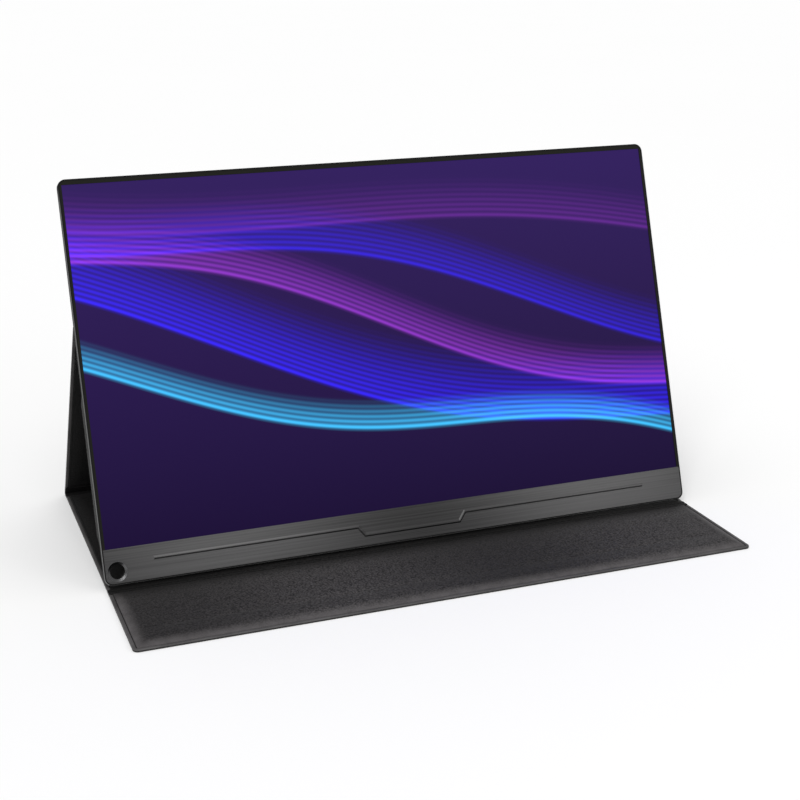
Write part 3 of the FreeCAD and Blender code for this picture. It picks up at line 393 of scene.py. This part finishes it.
def draw_in(box, target, rise):
    """Carry the picked face on to a smaller outline, lifted by rise."""
    low, high = box
    to_low, to_high = target
    middle = (to_low + to_high) / 2
    shift = middle - (low + high) / 2
    bpy.ops.mesh.extrude_region_move(TRANSFORM_OT_translate={"value": (shift.x, shift.y, rise)})
    size = high - low
    to_size = to_high - to_low
    bpy.ops.transform.resize(
        value=(to_size.x / size.x, to_size.y / size.y, 1), center_override=(middle.x, middle.y, 0)
    )


def cut_grid(piece, level, low, high):
    """Cut a flat side into squares."""
    for axis, normal in ((0, (1, 0, 0)), (1, (0, 1, 0))):
        count = round((high[axis] - low[axis]) / GRID)
        for step in range(1, count):
            spot = [0, 0, level]
            spot[axis] = low[axis] + (high[axis] - low[axis]) * step / count
            pick(piece, "FACE", at_level(level))
            bpy.ops.mesh.bisect(plane_co=spot, plane_no=normal)


def lining_panel(name, low, high, ends, rear, top, settings):
    """Inner side of a panel: flat rim, soft slope and raised face, still open for editing.

    The rear side has a rim and a run of its own, given as a pair.
    """
    inset = settings.wrap + settings.seam
    front_in = inset if low.y in ends else 0.0
    rear_in = inset if high.y in ends else 0.0
    low = Vector((low.x + inset, low.y + front_in))
    high = Vector((high.x - inset, high.y - rear_in))
    free = [end for end, moved in ((low.y, front_in), (high.y, rear_in)) if moved]
    piece = start_panel(name, (*low, SKIN), (*high, RIM), settings.corner - inset, free)
    pick(piece, "FACE", at_level(RIM))
    side = settings.hem - inset
    front = settings.hem - front_in
    rear_rim, rear_run = rear
    box = (low, high)
    level = RIM
    for step in range(SLOPE_STEPS + 1):
        part = step / SLOPE_STEPS
        past = settings.slope * part
        target = (low + Vector((side + past, front + past)),
                  high - Vector((side + past, rear_rim - rear_in + rear_run * part)))
        height = RIM + (top - RIM) * math.sin(math.pi / 2 * part)
        draw_in(box, target, height - level)
        box = target
        level = height
    cut_grid(piece, top, *box)
    return piece


def close_lining(piece, matrix, top, settings):
    """Slacken the face, round the cut edge and set the lining in its place."""
    ripple(piece, top, settings.ripple, LINING_WAVE)
    round_edges(piece, rim_edge, settings)
    close_edit(piece, matrix)


def press_line(piece, place, top, settings):
    """A pressed line across the raised face."""
    for shift in (-settings.crease, 0.0, settings.crease):
        pick(piece, "FACE", at_level(top))
        bpy.ops.mesh.bisect(plane_co=(0, place + shift, top), plane_no=(0, 1, 0))
    sink_line(piece, place, top, settings.crease_depth)


def leather_panel(name, matrix, low, high, ends, settings, slack):
    """Outer side of a panel: leather turned up round the free edges, which are marked for wear and a painted
    highlight.
    """
    piece = start_panel(name, (low.x, low.y, 0), (high.x, high.y, SKIN), settings.corner, ends)
    pick(piece, "FACE", at_level(SKIN))
    bpy.ops.mesh.inset(thickness=settings.wrap)
    folds = [end for end in (low.y, high.y) if end not in ends]

    def turned(face):
        middle = face.calc_center_median()
        inside = face.calc_area() > (high.x - low.x) * (high.y - low.y) / 2
        at_fold = any(near(middle.y, end, settings.wrap) for end in folds)
        return at_level(SKIN)(face) and not inside and not at_fold

    pick(piece, "FACE", turned)
    bpy.ops.mesh.extrude_region_move(TRANSFORM_OT_translate={"value": (0, 0, RIM - SKIN)})
    round_edges(piece, rim_edge, settings)
    if slack:
        cut_grid(piece, 0, low, high)
        ripple(piece, 0, -settings.ripple, LEATHER_WAVE)
    round_edges(piece, under_edge, settings)
    bpy.ops.object.mode_set(mode="OBJECT")
    # The turned edges are marked to be paler: wear, and a painted highlight where the lip catches light
    rubbed = piece.data.attributes.new("rubbed", "FLOAT", "POINT")
    for vertex, mark in zip(piece.data.vertices, rubbed.data):
        mark.value = float(vertex.co.z > SKIN + settings.edge)
    bpy.ops.object.mode_set(mode="EDIT")
    close_edit(piece, matrix)
    return piece


def fold_strip(name, matrix, half, leg, turn):
    """Soft strip bent about a fold line: a leg, a round back and a second leg."""
    piece = start_box(name, (-half, -leg, -RIM), (half, 0, 0))
    pick(piece, "FACE", lambda face: face.normal.y > 1 - ASKEW)
    bpy.ops.mesh.spin(steps=FOLD_STEPS, angle=math.pi - turn, center=(0, 0, 0), axis=(-1, 0, 0))
    along = Vector((0, -math.cos(turn), math.sin(turn)))
    bpy.ops.mesh.extrude_region_move(TRANSFORM_OT_translate={"value": along * leg})
    bpy.ops.mesh.select_all(action="SELECT")
    bpy.ops.mesh.remove_doubles(threshold=WELD)
    bpy.ops.mesh.delete_loose()
    close_edit(piece, matrix)
    return piece


def finish_piece(piece, material, slot, *nodes):
    """Give a new piece its finish and hide the CAD nodes that it stands for."""
    piece.data.materials.clear()
    piece.data.materials.append(material)
    if nodes:
        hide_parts(*nodes)


def line_fold(piece, place, hollow):
    """Lay the dark lining, a painted shade, on a fold strip, on its hollow side or on its round one."""
    piece.data.materials.append(bpy.data.materials["dark_lining"])
    for face in piece.data.polygons:
        meets_fold_line = near(face.normal.dot(face.center - place), 0)
        is_end = abs(face.normal.x) > MOSTLY
        face.material_index = int(meets_fold_line == hollow and not is_end)


# Finishes

def opaque(colour, share=1.0):
    """A colour, or a share of it, in the form that a node's socket takes."""
    return (*(share * part for part in colour), 1.0)


class Finish:
    """A node material built step by step on one shader."""

    def __init__(self, name, colour, roughness, metallic=0.0, specular=0.5):
        self.material = bpy.data.materials.new(name)
        self.material.use_nodes = True
        self.material.diffuse_color = opaque(colour)
        self.tree = self.material.node_tree
        self.shader = self.tree.nodes["Principled BSDF"]
        self.set("Base Color", opaque(colour))
        self.set("Roughness", roughness)
        self.set("Metallic", metallic)
        self.set("Specular IOR Level", specular)
        self.colour = colour

    def set(self, socket, value):
        self.shader.inputs[socket].default_value = value

    def add(self, kind, **values):
        node = self.tree.nodes.new("ShaderNode" + kind)
        for name, value in values.items():
            setattr(node, name, value)
        return node

    def feed(self, node, socket, value):
        """Join an output to a socket, or set the socket's own value."""
        if isinstance(value, bpy.types.NodeSocket):
            self.tree.links.new(value, node.inputs[socket])
        else:
            node.inputs[socket].default_value = value

    def place(self, scale=(1, 1, 1), turn=(0, 0, 0), spot=(0, 0, 0)):
        """Object coordinates seen from a turned and stretched frame."""
        mapping = self.add("Mapping", vector_type="TEXTURE")
        self.feed(mapping, "Vector", self.add("TexCoord").outputs["Object"])
        self.feed(mapping, "Location", spot)
        self.feed(mapping, "Rotation", turn)
        self.feed(mapping, "Scale", scale)
        return mapping.outputs["Vector"]

    def texture(self, kind, where, scale, **values):
        node = self.add("Tex" + kind, **values)
        self.feed(node, "Vector", where)
        self.feed(node, "Scale", scale)
        return node

    def noise(self, where, scale, detail=3.0):
        node = self.texture("Noise", where, scale)
        self.feed(node, "Detail", detail)
        return node.outputs["Fac"]

    def cells(self, where, scale):
        return self.texture("Voronoi", where, scale, feature="F1").outputs["Distance"]

    def rings(self, where, scale):
        node = self.texture("Wave", where, scale, wave_type="RINGS", rings_direction="Z")
        return node.outputs["Fac"]

    def math(self, operation, *values):
        node = self.add("Math", operation=operation)
        for index, value in enumerate(values):
            self.feed(node, index, value)
        return node.outputs["Value"]

    def times(self, value, *others):
        """Product of values."""
        for other in others:
            value = self.math("MULTIPLY", value, other)
        return value

    def weigh(self, *pairs):
        """Sum of values, each times its share."""
        total = 0.0
        for value, share in pairs:
            total = self.math("MULTIPLY_ADD", value, share, total)
        return total

    def axes(self, where):
        """The coordinates of a place, by their letters."""
        node = self.add("SeparateXYZ")
        self.feed(node, "Vector", where)
        return node.outputs

    def remap(self, value, source, target, smooth=False):
        node = self.add("MapRange", interpolation_type="SMOOTHSTEP" if smooth else "LINEAR")
        self.feed(node, "Value", value)
        for socket, limit in zip(("From Min", "From Max", "To Min", "To Max"), source + target):
            self.feed(node, socket, limit)
        return node.outputs["Result"]

    def blend(self, factor, first, second, mode="MIX"):
        """Blend two colours. The numbers are those of the mix node's colour sockets."""
        node = self.add("Mix", data_type="RGBA", blend_type=mode)
        self.feed(node, 0, factor)
        self.feed(node, 6, first)
        self.feed(node, 7, second)
        return node.outputs[2]

    def bands(self, where, peak, span):
        """Broad soft bands of painted light along X from 0 to 1, palest at the peak."""
        turn = 2 * math.pi / span
        along = self.math("MULTIPLY_ADD", self.axes(where)["X"], turn, -turn * peak)
        return self.remap(self.math("COSINE", along), (-1.0, 1.0), RISE)

    def inwards(self, where, half, corner):
        """Way inwards from a rounded outline about the middle."""
        axes = self.axes(where)
        past = [
            self.math("SUBTRACT", self.math("ABSOLUTE", axes[axis]), size - corner)
            for axis, size in zip("XY", half)
        ]
        round_x, round_y = (self.math("MAXIMUM", value, 0.0) for value in past)
        square = self.weigh((round_y, round_y), (round_x, round_x))
        straight = self.math("MINIMUM", self.math("MAXIMUM", *past), 0.0)
        out = self.math("ADD", self.math("SQRT", square), straight)
        return self.math("SUBTRACT", corner, out)

    def coat(self, factor, colour, share=1.0):
        """Lay another colour, or a share of it, over the base where the factor is high."""
        under = self.shader.inputs["Base Color"].links[0].from_socket
        self.feed(self.shader, "Base Color", self.blend(factor, under, opaque(colour, share)))

    def shade(self, factor, dark, light):
        """Vary the base colour between two shares of itself."""
        pair = [opaque(self.colour, share) for share in (dark, light)]
        self.feed(self.shader, "Base Color", self.blend(factor, *pair))

    def vary(self, socket, value, low, high):
        """Let a socket of the shader follow a texture between two values."""
        self.feed(self.shader, socket, self.remap(value, NOISE_RANGE, (low, high)))

    def bump(self, height, depth, strength):
        node = self.add("Bump")
        self.feed(node, "Height", height)
        self.feed(node, "Distance", depth)
        self.feed(node, "Strength", strength)
        self.feed(self.shader, "Normal", node.outputs["Normal"])


def leather_finish(colour):
    """Fine pebbled leather, half matt, with darker pores and paler edges: wear and a painted highlight."""
    finish = Finish("grained_leather", colour, roughness=0.5, specular=0.15)
    where = finish.place()
    pebble = finish.cells(where, scale=700.0)
    fine = finish.noise(where, scale=1500.0)
    tone = finish.noise(where, scale=60.0)
    pores = finish.weigh((pebble, 1.0), (tone, 0.3))
    finish.shade(finish.remap(pores, (0.2, 0.8), FALL), dark=0.6, light=1.5)
    rubbed = finish.add("Attribute", attribute_name="rubbed").outputs["Fac"]
    patchy = finish.remap(tone, NOISE_MIDDLE, (0.5, 1.0))
    # Painted highlight with wear: the marked edges three and a half times paler, in patches
    finish.coat(finish.times(rubbed, patchy), colour, share=3.6)
    finish.vary("Roughness", tone, low=0.44, high=0.58)
    finish.bump(finish.weigh((pebble, 1.0), (fine, 0.35)), depth=0.25 * MM, strength=0.5)
    return finish.material


def lining_finish(name, colour):
    """Matt grained lining with a faint nap, light and dark specks and broad soft bands of painted light."""
    finish = Finish(name, colour, roughness=0.65, specular=0.08)
    finish.set("Sheen Weight", 0.05)
    finish.set("Sheen Roughness", 0.4)
    where = finish.place()
    pebble = finish.cells(where, scale=850.0)
    fine = finish.noise(where, scale=1400.0, detail=2.0)
    tone = finish.noise(where, scale=45.0)
    specks = finish.weigh((pebble, -0.6), (fine, 1.2))
    grain = finish.remap(specks, (0.05, 0.65), (0.1, 1.0))
    # Painted light: broad bands that stand in for pools of light from two soft lights
    bands = finish.remap(finish.bands(where, *LINING_LIGHT_BANDS), RISE, (0.40, 1.0))
    finish.shade(finish.times(grain, bands), dark=0.30, light=2.0)
    finish.vary("Roughness", tone, low=0.56, high=0.70)
    finish.bump(finish.weigh((pebble, 1.0), (fine, 0.6)), depth=0.2 * MM, strength=0.5)
    return finish


def worn_lit_shaded_lining(settings):
    """Lining of the flap, paler along its free edges with wear and a painted highlight, and darker along its fold
    with painted shade.
    """
    finish = lining_finish("grained_lining", settings.lining)
    low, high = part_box("flap_skin")
    # The outline goes on behind the flap, so that only the flap's three free sides count
    half = high.x
    where = finish.place(spot=(0, low.y + half, 0))
    inwards = finish.inwards(where, (half, half), settings.corner)
    # Painted highlight with wear: paler along the free edges, where the padded edge catches the light
    rubbed = (settings.wrap, settings.wrap + settings.slope)
    worn = finish.remap(inwards, rubbed, FALL, smooth=True)
    patchy = finish.remap(finish.noise(where, scale=160.0), NOISE_MIDDLE, (0.6, 1.0))
    finish.coat(finish.times(worn, patchy), settings.lining, share=2.5)
    # Painted shade: darker on the slope beside the fold, under the screen's chin
    behind = finish.axes(finish.place(spot=HINGE))["Y"]
    beside_fold = (-FOLD_SHADE_SHARE * settings.fold_slope, 0.0)
    pressed = finish.remap(behind, beside_fold, (0.0, 0.85), smooth=True)
    finish.coat(pressed, settings.lining, share=0.2)
    return finish.material


def brushed_finish(colour):
    """Dark metal brushed along the chin, with broad soft bands of painted reflection."""
    finish = Finish("brushed_metal", colour, roughness=0.42, metallic=1.0)
    streak = finish.noise(finish.place(BRUSH_LINES, SCREEN_TURN), scale=1.0, detail=4.0)
    cloud = finish.noise(finish.place(BRUSH_CLOUDS, SCREEN_TURN), scale=1.0)
    brushing = finish.weigh((streak, 0.75), (cloud, 0.25))
    grain = finish.remap(brushing, NOISE_MIDDLE, (0.0, 0.35))
    # Painted reflections: broad bands that stand in for two soft lights mirrored in the brushed chin
    bands = finish.bands(finish.place(), *CHIN_LIGHT_BANDS)
    finish.shade(finish.weigh((grain, 1.0), (bands, 0.65)), dark=0.30, light=1.42)
    finish.vary("Roughness", streak, low=0.38, high=0.52)
    finish.bump(streak, depth=0.03 * MM, strength=0.35)
    return finish.material


def blasted_finish(settings):
    """Dark blasted metal of the shell and the keys, uncoated and lighter along the shell's front bevel, partly a
    painted highlight.
    """
    finish = Finish("blasted_metal", settings.shell, roughness=0.5, specular=0.01)
    where = finish.place()
    grit = finish.noise(where, scale=3200.0, detail=2.0)
    tone = finish.noise(where, scale=24.0)
    finish.shade(finish.weigh((tone, 0.6), (grit, 0.4)), dark=0.8, light=1.2)
    low, high = local_box("rear_shell", SCREEN_FRAME)
    middle = SCREEN_FRAME @ Vector((0, (low.y + high.y) / 2, high.z))
    half = (high.x, (high.y - low.y) / 2)
    face = finish.place(turn=SCREEN_TURN, spot=middle)
    axes = finish.axes(face)
    front = finish.remap(axes["Z"], (-BARE_LIT_DEPTH * settings.bevel, -settings.bevel), RISE)
    inwards = finish.inwards(face, half, settings.corner)
    edge = finish.remap(inwards, (settings.bevel, BARE_LIT_WIDTH * settings.bevel), FALL)
    # Painted highlight with uncoated metal: the light line along the bevel fades out near the top edge
    lower = finish.remap(axes["Y"], (BARE_LIT_TOP * half[1], half[1]), FALL, smooth=True)
    bare_and_lit = finish.times(front, edge, lower)
    finish.coat(bare_and_lit, settings.rim)
    finish.feed(finish.shader, "Metallic", bare_and_lit)
    finish.vary("Roughness", tone, low=0.38, high=0.48)
    finish.bump(grit, depth=0.03 * MM, strength=0.4)
    return finish.material


def moulded_finish(name, colour, roughness):
    """Moulded black plastic with a fine spark-worn grain."""
    finish = Finish(name, colour, roughness, specular=0.05)
    where = finish.place()
    grain = finish.noise(where, scale=1800.0)
    tone = finish.noise(where, scale=35.0)
    finish.shade(finish.weigh((tone, 0.5), (grain, 0.5)), dark=0.75, light=1.25)
    finish.vary("Roughness", tone, low=roughness - 0.05, high=roughness + 0.06)
    finish.bump(grain, depth=0.04 * MM, strength=0.3)
    return finish.material


def turned_finish(colour):
    """Turned metal with rings about the pen hole."""
    finish = Finish("turned_metal", colour, roughness=0.24, metallic=1.0)
    rings = finish.rings(finish.place(turn=SCREEN_TURN, spot=PEN_SPOT), scale=2600.0)
    finish.shade(rings, dark=0.85, light=1.12)
    finish.vary("Roughness", rings, low=0.20, high=0.28)
    finish.bump(rings, depth=0.02 * MM, strength=0.3)
    return finish.material


def sheet_finish(name, colour, roughness):
    """Rolled or plated sheet metal with a faint lay along its length."""
    finish = Finish(name, colour, roughness, metallic=1.0)
    lay = finish.noise(finish.place(ROLLED_LINES, SCREEN_TURN), scale=1.0)
    finish.shade(lay, dark=0.85, light=1.12)
    finish.vary("Roughness", lay, low=roughness - 0.06, high=roughness + 0.08)
    finish.bump(lay, depth=0.02 * MM, strength=0.2)
    return finish.material


def flat_finish(name, colour, roughness, scale):
    """Plain film, board or moulded piece inside, with a little mottling."""
    finish = Finish(name, colour, roughness)
    mottle = finish.noise(finish.place(), scale)
    finish.shade(mottle, dark=0.82, light=1.15)
    finish.vary("Roughness", mottle, low=roughness - 0.05, high=roughness + 0.08)
    return finish.material


def picture_finish(settings):
    """Lit picture: sloping ribbons of light over a deep violet ground."""
    finish = Finish("lit_picture", (0.002, 0.002, 0.002), roughness=0.4, specular=0.03)
    low, high = local_box("lcd_cell", SCREEN_FRAME)
    corner = SCREEN_FRAME @ Vector((0, low.y, high.z))
    axes = finish.axes(finish.place((high.x, high.y - low.y, 1), SCREEN_TURN, corner))
    across = axes["X"]
    up = axes["Y"]
    light = finish.blend(up, opaque(settings.lower), opaque(settings.upper))
    for middle, slope, swing, waves, shift, depth, tint, strength in RIBBONS:
        bend = finish.math("SINE", finish.math("MULTIPLY_ADD", across, waves, shift))
        straight = finish.math("MULTIPLY_ADD", across, slope, middle)
        crest = finish.math("MULTIPLY_ADD", bend, swing, straight)
        above = finish.math("SUBTRACT", up, crest)
        fade = finish.remap(above, (0.0, depth), (strength, 0.0), smooth=True)
        foot = finish.remap(above, SOFT_LINE, RISE, smooth=True)
        pleat = finish.math("SINE", finish.times(above, PLEAT_RATE))
        fold = finish.math("MULTIPLY_ADD", pleat, PLEAT_DEPTH, 1 - PLEAT_DEPTH)
        away = finish.math("ABSOLUTE", above)
        line = finish.remap(away, BRIGHT_LINE, (BRIGHT_SHARE * strength, 0.0), smooth=True)
        glow = finish.math("ADD", finish.times(fade, foot, fold), line)
        light = finish.blend(glow, light, opaque(getattr(settings, tint)), "ADD")
    finish.feed(finish.shader, "Emission Color", light)
    finish.set("Emission Strength", 1.0)
    return finish.material


def dress(material, *nodes):
    """Give CAD nodes that stay a better finish in their own slots."""
    for name in nodes:
        node = frame["nodes"][name]
        if not node.material_slots:
            node.data.materials.append(material)
        for holder in node.material_slots:
            holder.material = material


def aim(light, way):
    """Turn a light so that it shines one way."""
    light.rotation_euler = Vector(way).to_track_quat("-Z", "Y").to_euler()


# Operators, one for each piece or group of like pieces

class FinishBody(bpy.types.Operator):
    """Finish the rear shell, front frame, chin, pen hole, keys and sockets"""
    bl_idname = "monitor.finish_body"
    bl_label = "Finish body"

    def execute(self, context):
        settings = context.scene.monitor_body
        shell = blasted_finish(settings)
        bezel = moulded_finish("moulded_bezel", settings.bezel, roughness=0.4)
        socket = sheet_finish("plated_sheet", settings.socket, roughness=0.28)
        dress(shell, "rear_shell", "power_key", "menu_key")
        dress(bezel, "front_bezel", "port_panel", "speaker_grilles")
        dress(brushed_finish(settings.chin), "chin_plate")
        dress(turned_finish(settings.ring), "pen_ring")
        dress(socket, "usb_c_sockets", "mini_hdmi_socket")
        return {"FINISHED"}


class LightPicture(bpy.types.Operator):
    """Light the display glass with its picture"""
    bl_idname = "monitor.light_picture"
    bl_label = "Light picture"

    def execute(self, context):
        dress(picture_finish(context.scene.monitor_picture), "lcd_cell")
        return {"FINISHED"}


class FinishInsides(bpy.types.Operator):
    """Finish the layers, boards and magnets that lie inside"""
    bl_idname = "monitor.finish_insides"
    bl_label = "Finish insides"

    def execute(self, context):
        for name, tint, roughness, nodes in INSIDE_SHEETS:
            dress(sheet_finish(name, tint, roughness), *nodes)
        for name, tint, roughness, scale, nodes in INSIDE_PLAIN:
            dress(flat_finish(name, tint, roughness, scale), *nodes)
        return {"FINISHED"}


class MakePanels(bpy.types.Operator):
    """Make the leather and the lining of the cover's four panels"""
    bl_idname = "cover.make_panels"
    bl_label = "Make panels"

    def execute(self, context):
        settings = context.scene.monitor_cover
        leather = leather_finish(settings.leather)
        lining = worn_lit_shaded_lining(settings)
        # The darker copy of the lining is painted shade, for the base, strut and back panel
        inside = lining_finish("dark_lining", settings.inside).material
        panels = [
            ("flap", TABLE_FRAME, False), ("base", TABLE_FRAME, False),
            ("strut", STRUT_FRAME, True), ("back_panel", SCREEN_FRAME, True),
        ]
        for name, matrix, slack in panels:
            low, high = local_box(name + "_skin", matrix)
            ends = []
            rear = (settings.hem, settings.slope)
            top = PANEL
            if name == "flap":
                ends = [low.y]
                rear = (settings.seam, settings.fold_slope)
                top = PANEL + settings.swell
                high.y = HINGE.y - settings.fold_reach
            if name == "back_panel":
                ends = [high.y]
            inner = lining_panel(name + "_inner_lining", low, high, ends, rear, top, settings)
            if name == "flap":
                press_line(inner, HINGE.y - settings.crease_out, top, settings)
            close_lining(inner, matrix, top, settings)
            finish_piece(inner, lining if name == "flap" else inside, "lining_grey", name + "_lining")
            if name == "base":
                low.y = HINGE.y + settings.fold_reach
            outer = leather_panel(name + "_outer_leather", matrix, low, high, ends, settings, slack)
            finish_piece(outer, leather, "leather_black", name + "_skin")
            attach(inner, name)
            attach(outer, name)
        return {"FINISHED"}


class MakeSeat(bpy.types.Operator):
    """Make the channel that the screen's lower edge stands in"""
    bl_idname = "cover.make_seat"
    bl_label = "Make seat"

    def execute(self, context):
        settings = context.scene.monitor_cover
        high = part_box("seat_strip")[1]
        start = HINGE.y + settings.fold_reach
        half = high.x - settings.wrap - settings.seam
        piece = start_box("seat_channel", (-half, start, SKIN), (half, high.y, RIM))
        round_edges(piece, lambda edge: all(
            near(corner.co.z, RIM) and near(abs(corner.co.x), half) for corner in edge.verts), settings)
        close_edit(piece, TABLE_FRAME)
        # Painted shade: the seat under the chin takes the darker lining
        finish_piece(piece, bpy.data.materials["dark_lining"], "lining_grey", "seat_strip")
        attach(piece, "base")
        return {"FINISHED"}


class MakeFolds(bpy.types.Operator):
    """Make the soft strips that bend at the cover's three folds"""
    bl_idname = "cover.make_folds"
    bl_label = "Make folds"

    def execute(self, context):
        settings = context.scene.monitor_cover
        leather = bpy.data.materials["grained_leather"]
        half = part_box("spine_strip")[1].x
        leg = FOOT.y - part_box("spine_strip")[0].y
        spine = fold_strip("foot_fold", FOOT_FRAME, half, leg, STAND)
        finish_piece(spine, leather, "leather_black", "spine_strip")
        line_fold(spine, FOOT, hollow=True)
        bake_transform(spine)
        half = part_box("apex_strip")[1].x
        turn = UPRIGHT + STAND
        apex = fold_strip("upper_fold", APEX_FRAME, half, leg, turn)
        finish_piece(apex, leather, "leather_black", "apex_strip")
        line_fold(apex, APEX, hollow=False)
        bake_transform(apex)
        self.flap_hinge(settings, leather)
        return {"FINISHED"}

    def flap_hinge(self, settings, leather):
        """Leather and lining together where the flap folds up."""
        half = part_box("seat_strip")[1].x
        reach = settings.fold_reach
        piece = start_box("flap_fold", (-half, HINGE.y - reach, 0), (half, HINGE.y + reach, RIM))
        for step in range(1, HINGE_STEPS):
            bpy.ops.mesh.select_all(action="SELECT")
            place = HINGE.y - reach + 2 * reach * step / HINGE_STEPS
            bpy.ops.mesh.bisect(plane_co=(0, place, 0), plane_no=(0, 1, 0))
        sink_line(piece, HINGE.y, RIM, settings.crease_depth)
        close_edit(piece, TABLE_FRAME)
        finish_piece(piece, leather, "leather_black")
        # Painted shade: the hinge's top under the chin takes the darker lining
        piece.data.materials.append(bpy.data.materials["dark_lining"])
        for face in piece.data.polygons:
            face.material_index = int(face.normal.z > MOSTLY)
        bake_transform(piece)


class BuildStage(bpy.types.Operator):
    """Build the pale floor, the soft light and the camera"""
    bl_idname = "stage.build"
    bl_label = "Build stage"

    def execute(self, context):
        settings = context.scene.monitor_stage
        context.scene.view_settings.view_transform = "Standard"
        self.floor(settings)
        self.sky(context.scene, settings)
        self.sun(settings)
        self.soft_box(settings)
        self.camera(context.scene, settings)
        return {"FINISHED"}

    def floor(self, settings):
        bpy.ops.object.select_all(action="DESELECT")
        bpy.ops.mesh.primitive_plane_add(size=settings.floor_size, location=(0, 0, -settings.floor_gap))
        floor = bpy.context.object
        floor.name = "studio_floor"
        finish = Finish("pale_floor", settings.floor, roughness=0.9, specular=0.0)
        finish.shade(finish.noise(finish.place(), scale=2.0), dark=0.995, light=1.005)
        floor.data.materials.append(finish.material)

    def sky(self, scene, settings):
        """White to the eye, and a plain soft light elsewhere."""
        world = bpy.data.worlds.new("studio_sky")
        scene.world = world
        world.use_nodes = True
        nodes = world.node_tree.nodes
        links = world.node_tree.links
        path = nodes.new("ShaderNodeLightPath")
        level = nodes.new("ShaderNodeMapRange")
        links.new(path.outputs["Is Camera Ray"], level.inputs["Value"])
        level.inputs["To Min"].default_value = settings.sky
        level.inputs["To Max"].default_value = 1.0
        links.new(level.outputs["Result"], nodes["Background"].inputs["Strength"])
        nodes["Background"].inputs["Color"].default_value = (1, 1, 1, 1)

    def sun(self, settings):
        bpy.ops.object.light_add(type="SUN")
        sun = bpy.context.object
        sun.name = "soft_sun"
        sun.data.energy = settings.sun
        sun.data.angle = settings.sun_angle
        aim(sun, settings.sun_way)

    def soft_box(self, settings):
        bpy.ops.object.light_add(type="AREA", location=settings.box_spot)
        box = bpy.context.object
        box.name = "soft_box"
        box.data.energy = settings.box_power
        box.data.size = settings.box_size
        aim(box, -Vector(settings.box_spot))

    def camera(self, scene, settings):
        bpy.ops.object.camera_add(location=settings.camera)
        camera = bpy.context.object
        camera.name = "photo_camera"
        camera.data.lens = settings.lens
        camera.data.sensor_width = settings.sensor
        camera.rotation_euler = (
            Matrix.Rotation(settings.azimuth, 3, "Z")
            @ Matrix.Rotation(math.pi / 2 - settings.elevation, 3, "X")
            @ Matrix.Rotation(settings.roll, 3, "Z")
        ).to_euler()
        scene.camera = camera


STEPS = (FinishBody, LightPicture, FinishInsides, MakePanels, MakeSeat, MakeFolds, BuildStage)


class MonitorPanel(bpy.types.Panel):
    """Lists the steps that dress the monitor"""
    bl_idname = "VIEW3D_PT_portable_monitor"
    bl_label = "Portable monitor"
    bl_space_type = "VIEW_3D"
    bl_region_type = "UI"
    bl_category = "Monitor"

    def draw(self, context):
        for step in STEPS:
            self.layout.operator(step.bl_idname)


GROUPS = {
    "monitor_cover": CoverSettings,
    "monitor_body": BodySettings,
    "monitor_picture": PictureSettings,
    "monitor_stage": StageSettings,
}


def register():
    for name, group in GROUPS.items():
        bpy.utils.register_class(group)
        setattr(bpy.types.Scene, name, bpy.props.PointerProperty(type=group))
    for item in (*STEPS, MonitorPanel):
        bpy.utils.register_class(item)


def unregister():
    for item in (MonitorPanel, *reversed(STEPS)):
        bpy.utils.unregister_class(item)
    for name, group in GROUPS.items():
        delattr(bpy.types.Scene, name)
        bpy.utils.unregister_class(group)


def main():
    register()
    for step in STEPS:
        category, name = step.bl_idname.split(".")
        getattr(getattr(bpy.ops, category), name)()


if __name__ == "__main__":
    main()
